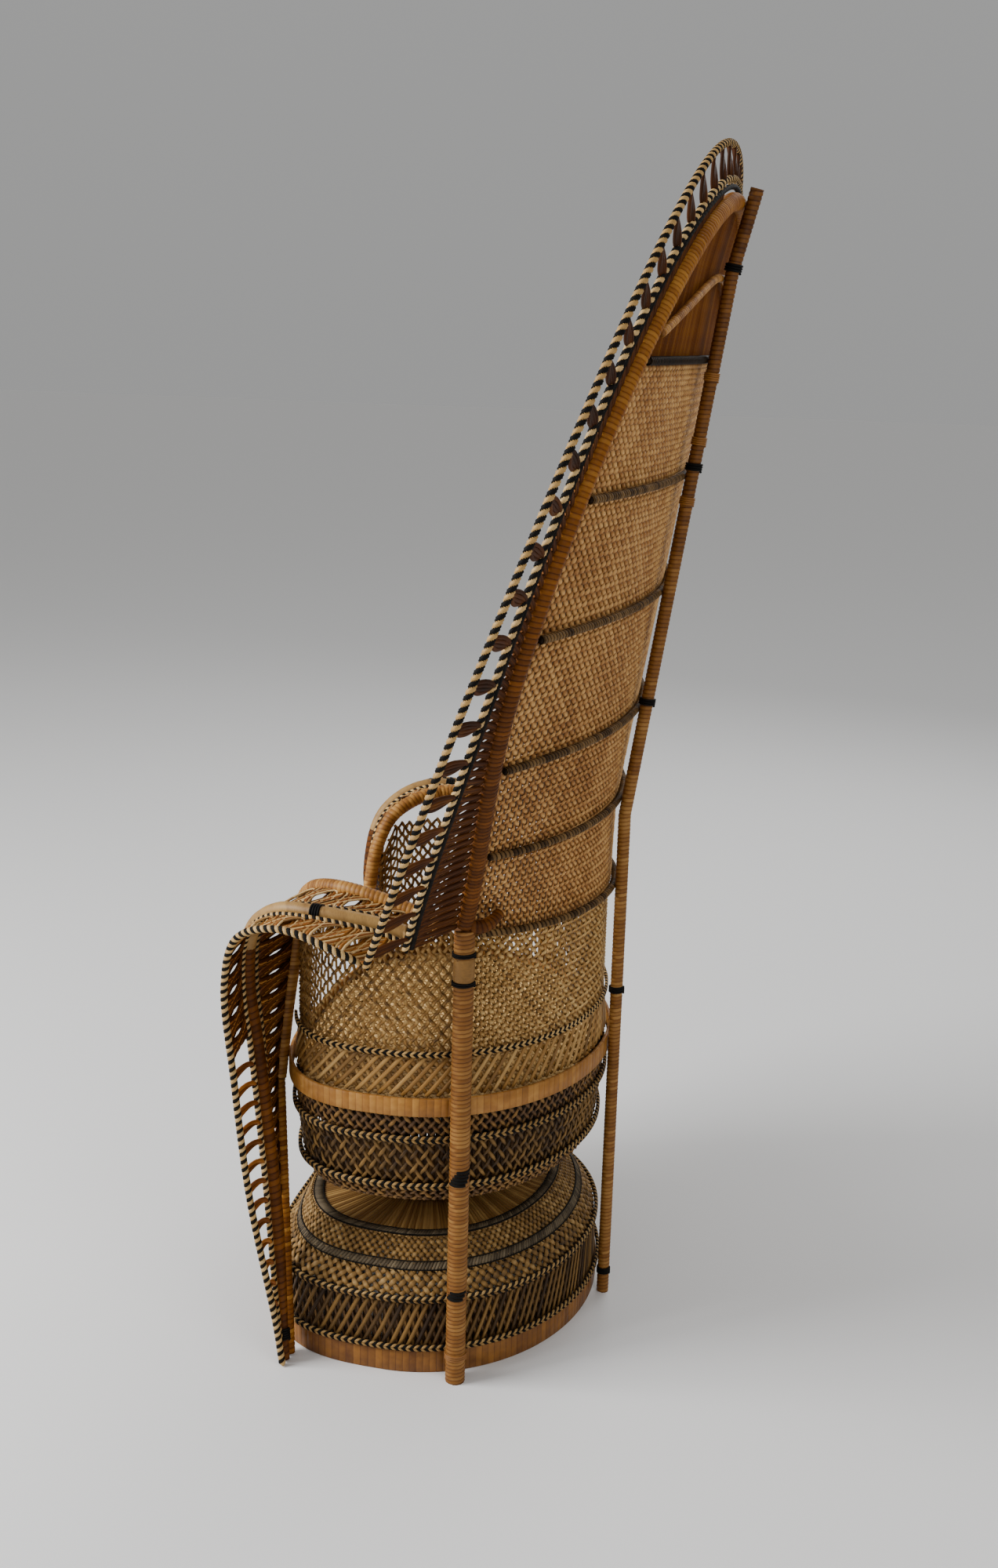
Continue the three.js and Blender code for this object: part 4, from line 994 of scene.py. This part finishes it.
SIDE_GRID = np.stack([side_column(a, i / SIDE_STEPS) for i, a in enumerate(SIDE_ANGLES)])
SIDE_LENGTHS = arc_lengths(SIDE_GRID[:, 0])
SIDE_LENGTHS = SIDE_LENGTHS / SIDE_LENGTHS[-1]


def side_surface(low, high, sign):
    """Part of the side wall between two of its three levels."""

    def surface(u, v):
        rows = [sampled(u, SIDE_LENGTHS, SIDE_GRID[:, r]) for r in (low, high)]
        return lerp(rows[0], rows[1], np.reshape(v, (-1, 1))) * (sign, 1, 1)

    return surface


def back_surface(low, high):
    """Part of the back wall between two of its three levels."""

    def surface(u, v):
        angle = lerp(wall_edge_angle, math.pi - wall_edge_angle, u)
        inset, z = lerp(WALL_INSETS[low], WALL_INSETS[high], v), lerp(WALL_ROWS[low], WALL_ROWS[high], v)
        return outline(angle, inset, z)

    return surface


def slanted_course(strands, surface, count, lean, sign=1):
    """Two layers of slanted strips, the outer one leaning to the rear."""
    v = np.linspace(0, 1, 5)
    for way, lift in ((1, 1.6), (-1, -1.6)):
        for k, tone in enumerate(tones(count + 1)):
            u = k / count + way * lean * (v - 0.5)
            keep = (u >= 0) & (u <= 1)
            if keep.sum() > 2:
                path, normal = on_surface(surface, u[keep], v[keep], lift * sign)
                strands.strip(path, normal, tone, "cane", width=5.6, thick=3.0, sides=ROUND)


wall = Strands()
slanted_course(wall, back_surface(0, 1), count=40, lean=0.075)
weave(
    wall, back_surface(1, 2), "cane", across=44, rows=11, width=4.6, thick=3.6, lift=1.9,
    spread=(0.15, 0.5), depth=0.45, bead=0.8,
)
wall.make("wall_back_weave", "weave", "wall_back")
SIDES = {"left": 1, "right": -1}
for hand, sign in SIDES.items():
    side_wall = Strands()
    slanted_course(side_wall, side_surface(0, 1, sign), count=20, lean=-0.16, sign=-sign)
    weave(
        side_wall, side_surface(1, 2, sign), "cane", across=21, rows=9, width=4.8, thick=3.6, lift=1.9,
        spread=(0.4, 0.75), depth=0.35, bead=0.75,
    )
    side_wall.make(f"wall_side_weave_{hand}", "weave", f"wall_side_{hand}")
rib_s = Strands()
rib_end = ARM_POST_ANGLE + 0.06
rib_inset = SHELL_INSET - SHELL_HALF_THICK - RIB_RADIUS - GAP
rib_path = outline(np.linspace(rib_end, math.pi - rib_end, 241), rib_inset, WALL_RIB_Z)
rib_up = np.tile([0.0, 0, 1], (len(rib_path), 1))
rib_side = np.cross(heading(rib_path), rib_up)
for way in (1, -1):
    row = rib_path + (0, 0, way * 1.9)
    cord(rib_s, row, 2.3, pitch=10, materials=["cane", "black"], side=rib_side, up=rib_up * way)
rib_s.make("shell_rib_braid_s", "grey", "shell_rib_s")


# Arms, legs and side posts.
def arm_band(edge):
    """Line of the cord that lies beside the middle pole, on the side of an edge."""
    way = heading(arm_mid)
    out = edge - arm_mid
    out = unit(out - way * np.sum(out * way, 1, keepdims=True))
    return arm_mid + out * (mid_radius + GAP + CORD_RADIUS)[:, None]


LADDER_FOOT, LADDER_TOP, ARM_BEND_Z, KNOT_Z = 40, 430, 610, 30
CORD_FOOT, CORD_START, CORD_IN_END, CORD_PITCH = 4, 24, 93, 9.5
LADDER_END = int(np.argmax(arm_outer[:, 2] > LADDER_TOP))
FRONT_END = int(np.argmax(arm_mid[:, 2] > ARM_BEND_Z))
KNOT_STEP = int(np.argmax(arm_mid[:, 2] > KNOT_Z))
MARK_STEP = int(0.86 * ARM_STEPS) + 1
FRONT_REEDS = ("scroll", "scroll", "copper", "scroll", "scroll")
TOP_REEDS = ("straw", "copper", "straw", "scroll")
REED_STEPS, REED_NEAR_CLEAR, REED_SPREAD, REED_LIFT = 12, 4, 0.6, 2.2
cord_out, cord_in = arm_band(arm_outer), arm_band(inner_edge)
LADDER_SPLIT = cord_out[CORD_START, 2]
HOOK_BEND = np.array([(0, 0, 9), (-4, 13, 3), (-16, 26, 5), (-36, 35, 13)], float)
HOOK_STEPS = 24
SLEEVE_LOW, SLEEVE_HIGH = 66, 36
POST_PATCHES, POST_TIE_DROPS, POST_COIL_Z = {126: 3, 290: 5}, (70, 32), 38
BANDS = [
    ("in", cord_in, inner_edge, 9, CORD_START, CORD_IN_END),
    ("out", cord_out, arm_outer, 4, LADDER_END, ARM_STEPS + 1),
]


def rungs(strands, low, high, flip):
    """Level rungs from the middle pole's cord to the outer cord, each bowed upward."""
    z = np.linspace(low, high, 60)
    near, far = (sampled(z, e[:FRONT_END, 2], e[:FRONT_END]) * flip for e in (cord_out, arm_outer))
    normal = unit(np.cross(np.gradient(near, axis=0), far - near))
    eyes(strands, near, far, normal, 28, "copper", bow_width=2.4, plies=2, rise=6)


def wave_reeds(strands, near, far, pitch, materials, far_clear):
    """Bundles of reeds that wave between two edges and cross each other."""
    middle = (near + far) / 2
    waves = max(3, round(arc_lengths(middle)[-1] / pitch))
    t = np.linspace(0, 1, waves * REED_STEPS + 1)
    a, b = path_at(near, t), path_at(far, t)
    across = b - a
    gap = np.linalg.norm(across, axis=1, keepdims=True)
    normal = path_at(unit(np.cross(np.gradient(middle, axis=0), far - near)), t)
    a, b = a + across / gap * REED_NEAR_CLEAR, b - across / gap * far_clear
    for phase in (0, 0.5):
        for ply, material in enumerate(materials):
            turn = math.tau * (waves * t + phase) + REED_SPREAD * (ply - (len(materials) - 1) / 2)
            share = 0.5 + 0.5 * np.sin(turn)
            lift = REED_LIFT * np.cos(turn) * (1 if phase else -1)
            path = lerp(a, b, share[:, None]) + normal * lift[:, None]
            tone = tones(1, 0.1, 0.9)[0]
            strands.strip(path, normal, tone, material, width=4.2, thick=3.0)


PATCH_REACH, PATCH_SHIFT, PATCH_PITCH, PATCH_LIFT = 0.9, 0.22, 4.6, 0.2


def patch(strands, post_at, z, rows, sign):
    """Short black wraps on the outer side of a post, each a little further round."""
    for row in range(rows):
        turn = np.linspace(-PATCH_REACH, PATCH_REACH, 9) + PATCH_SHIFT * row
        out = np.stack([np.cos(turn) * sign, np.sin(turn), np.zeros(9)], -1)
        path = post_at * (1, 1, 0) + (0, 0, z + row * PATCH_PITCH) + out * (POST_RADIUS + PATCH_LIFT)
        strands.strip(path, out, 0.3, "black", width=4.4, thick=1.6, sides=ROUND)


for hand, sign in SIDES.items():
    flip = np.array([sign, 1, 1])
    leg = Strands()
    leg_line = resampled(np.array([leg_foot, post_foot - (0, 0, 3.4)]), 60) * flip
    wrapped(leg, leg_line, "orange", LEG_RADIUS, pitch=6.5, sides=10)
    leg.make(f"front_leg_wrap_{hand}", "peel", f"front_leg_{hand}")
    inner = Strands()
    wrapped(inner, arm_inner * flip, "peel", ARM_INNER_RADIUS, pitch=6.2)
    inner.make(f"arm_inner_wrap_{hand}", "peel", f"arm_inner_pole_{hand}")
    mid = Strands()
    joint = FRONT_END - 4
    wrapped(
        mid, arm_mid[joint:] * flip, "straw", mid_radius[joint:], pitch=24,
        ridge=0.2, spread=(0.2, 0.4), groove_shade=0.1,
    )
    # The upright lower part of the middle pole gets dark orange tones: painted shade.
    wrapped(
        mid, arm_mid[:joint + 1] * flip, "orange", mid_radius[:joint + 1], pitch=9,
        ridge=0.3, spread=(0.0, 0.3),
    )
    mark = arm_mid[MARK_STEP - 1:MARK_STEP + 2] * flip
    coil(mid, mark[1], mark[2] - mark[0], "black", ARM_MID_RADIUS - 1.4, turns=4, wire=3.6)
    mid.make(f"arm_mid_wrap_{hand}", "peel", f"arm_mid_pole_{hand}")
    outer = Strands()
    cord(outer, arm_outer * flip, 4.8, pitch=11)
    outer.make(f"arm_outer_braid_{hand}", "braid", f"arm_outer_cord_{hand}")
    for band, near, far, clear, first, last in BANDS:
        braid = Strands()
        cord(braid, near[CORD_START:last] * flip, 4.2, CORD_PITCH)
        braid.make(f"arm_braid_{band}_{hand}", "braid", f"arm_cord_{band}_{hand}")
        reeds = Strands()
        front, top = slice(first, FRONT_END + 1), slice(FRONT_END, last)
        wave_reeds(reeds, near[front] * flip, far[front] * flip, 28, FRONT_REEDS, clear)
        wave_reeds(reeds, near[top] * flip, far[top] * flip, 46, TOP_REEDS, clear)
        if band == "out":
            rungs(reeds, LADDER_SPLIT, LADDER_TOP, flip)
        reeds.make(f"arm_reeds_{band}_{hand}", "dark", f"arm_scroll_{band}_{hand}")
    ladder = Strands()
    rungs(ladder, LADDER_FOOT, LADDER_SPLIT, flip)
    cord(ladder, cord_out[CORD_FOOT:CORD_START + 1] * flip, CORD_RADIUS - 1, CORD_PITCH)
    knot = arm_mid[KNOT_STEP - 1:KNOT_STEP + 2] * flip
    coil(ladder, knot[1], knot[2] - knot[0], "black", ARM_FOOT_RADIUS, turns=5, wire=3.4)
    ladder.make(f"arm_ladder_{hand}", "dark")
    hook = Strands()
    hook_line = catmull([frame_path[1], *(post_head + HOOK_BEND)], HOOK_STEPS) * flip
    hook_radius = np.linspace(10.5, 7, HOOK_STEPS + 1)
    wrapped(hook, hook_line, "orange", hook_radius, pitch=6, sides=10, spread=(0.0, 0.25))
    hook.make(f"fan_frame_hook_{hand}", "peel")
    post = Strands()
    post_line = np.array([post_head * (1, 1, 0), post_head]) * flip
    wrapped(
        post, post_line, "post", POST_RADIUS, pitch=5.6,
        sides=14, ridge=0.6, spread=(0.35, 0.6), groove_shade=0.35,
    )
    sleeve = np.array([post_head - (0, 0, SLEEVE_LOW), post_head - (0, 0, SLEEVE_HIGH)]) * flip
    wrapped(
        post, sleeve, "cane", POST_RADIUS + 0.7, pitch=30,
        sides=14, ridge=0.1, spread=(0.3, 0.45), groove_shade=0,
    )
    for z, rows in POST_PATCHES.items():
        patch(post, post_head * flip, z, rows, sign)
    foot = (post_head * (1, 1, 0) + (0, 0, POST_COIL_Z)) * flip
    coil(post, foot, (0, 0, 1), "weave", POST_RADIUS - 0.4, turns=3, wire=3.0)
    post.make(f"side_post_wrap_{hand}", "peel", f"side_post_{hand}")
    for number, drop in enumerate(POST_TIE_DROPS, 1):
        ring = Strands()
        centre = (post_head - (0, 0, drop)) * flip
        coil(ring, centre, (0, 0, 1), "black", POST_RADIUS, turns=2, wire=3.0)
        ring.make(f"side_post_binding_{hand}_{number}", "dark", f"side_post_tie_{hand}_{number}")

# Floor, light and camera, in metres.
FLOOR_COLOUR, FLOOR_ROUGHNESS = (0.85, 0.845, 0.84, 1), 0.7
SKY_LOW, SKY_HIGH, SKY_STRENGTH = (0.785, 0.785, 0.78, 1), (1, 1, 0.99, 1), 0.45
floor_mesh = bpy.data.meshes.new("floor")
floor_mesh.from_pydata([(-30, -30, 0), (30, -30, 0), (30, 30, 0), (-30, 30, 0)], [], [(0, 1, 2, 3)])
floor_object = linked("floor", floor_mesh)
floor_material = bpy.data.materials.new("floor")
floor_material.use_nodes = True
floor_inputs = floor_material.node_tree.nodes["Principled BSDF"].inputs
floor_inputs["Base Color"].default_value = FLOOR_COLOUR
floor_inputs["Roughness"].default_value = FLOOR_ROUGHNESS
floor_mesh.materials.append(floor_material)

world = bpy.data.worlds.new("studio")
bpy.context.scene.world = world
world.use_nodes = True
sky_nodes, sky_links = world.node_tree.nodes, world.node_tree.links
sky_place = sky_nodes.new("ShaderNodeTexCoord")
sky_axes = sky_nodes.new("ShaderNodeSeparateXYZ")
sky_ramp = sky_nodes.new("ShaderNodeValToRGB")
sky_ramp.color_ramp.elements[0].color = SKY_LOW
sky_ramp.color_ramp.elements[1].color = SKY_HIGH
sky_links.new(sky_place.outputs["Generated"], sky_axes.inputs["Vector"])
sky_links.new(sky_axes.outputs["Z"], sky_ramp.inputs["Fac"])
sky_links.new(sky_ramp.outputs["Color"], sky_nodes["Background"].inputs["Color"])
sky_nodes["Background"].inputs["Strength"].default_value = SKY_STRENGTH


def aim(thing, place, *axes):
    turned = Matrix(np.stack(axes, 1).tolist()).to_4x4()
    thing.matrix_world = Matrix.Translation(place) @ turned


def area_light(name, place, target, size, power):
    data = bpy.data.lights.new(name, "AREA")
    data.shape = "RECTANGLE"
    data.size, data.size_y = size, size
    data.energy = power
    z = unit(np.array(place, float) - np.array(target, float))
    x = unit(np.cross((0, 0, 1.0), z))
    aim(linked(name, data), place, x, np.cross(z, x), z)


area_light("window", place=(1.5, -3.0, 2.5), target=(0, 0, 0.7), size=1.8, power=200)
area_light("fill", place=(2.4, 2.6, 2.6), target=(0, 0, 0.8), size=2.0, power=36)
area_light("back", place=(-2.8, 0.6, 2.6), target=(0, 0, 0.8), size=2.0, power=36)

CAMERA_PLACE = (2.147, 0.575 + SHIFT * MM, 1.337)
HEADING, YAW, PITCH, ROLL = math.radians(15), -0.034, 0.2616, 0.0269
FOCAL_PIXELS, IMAGE_WIDTH, SENSOR = 2135.13, 1273, 36
turn = HEADING + YAW
level = np.array([-math.cos(turn), -math.sin(turn), 0])
forward = level * math.cos(PITCH) - (0, 0, math.sin(PITCH))
right = unit(np.cross(forward, (0, 0, 1.0)))
above = np.cross(right, forward)
rolled = math.cos(ROLL) * right + math.sin(ROLL) * above
upright = -math.sin(ROLL) * right + math.cos(ROLL) * above
camera_data = bpy.data.cameras.new("camera")
camera_data.sensor_fit = "HORIZONTAL"
camera_data.sensor_width = SENSOR
camera_data.lens = SENSOR * FOCAL_PIXELS / IMAGE_WIDTH
camera = linked("camera", camera_data)
aim(camera, CAMERA_PLACE, rolled, upright, -forward)
bpy.context.scene.camera = camera

bpy.context.view_layer.update()
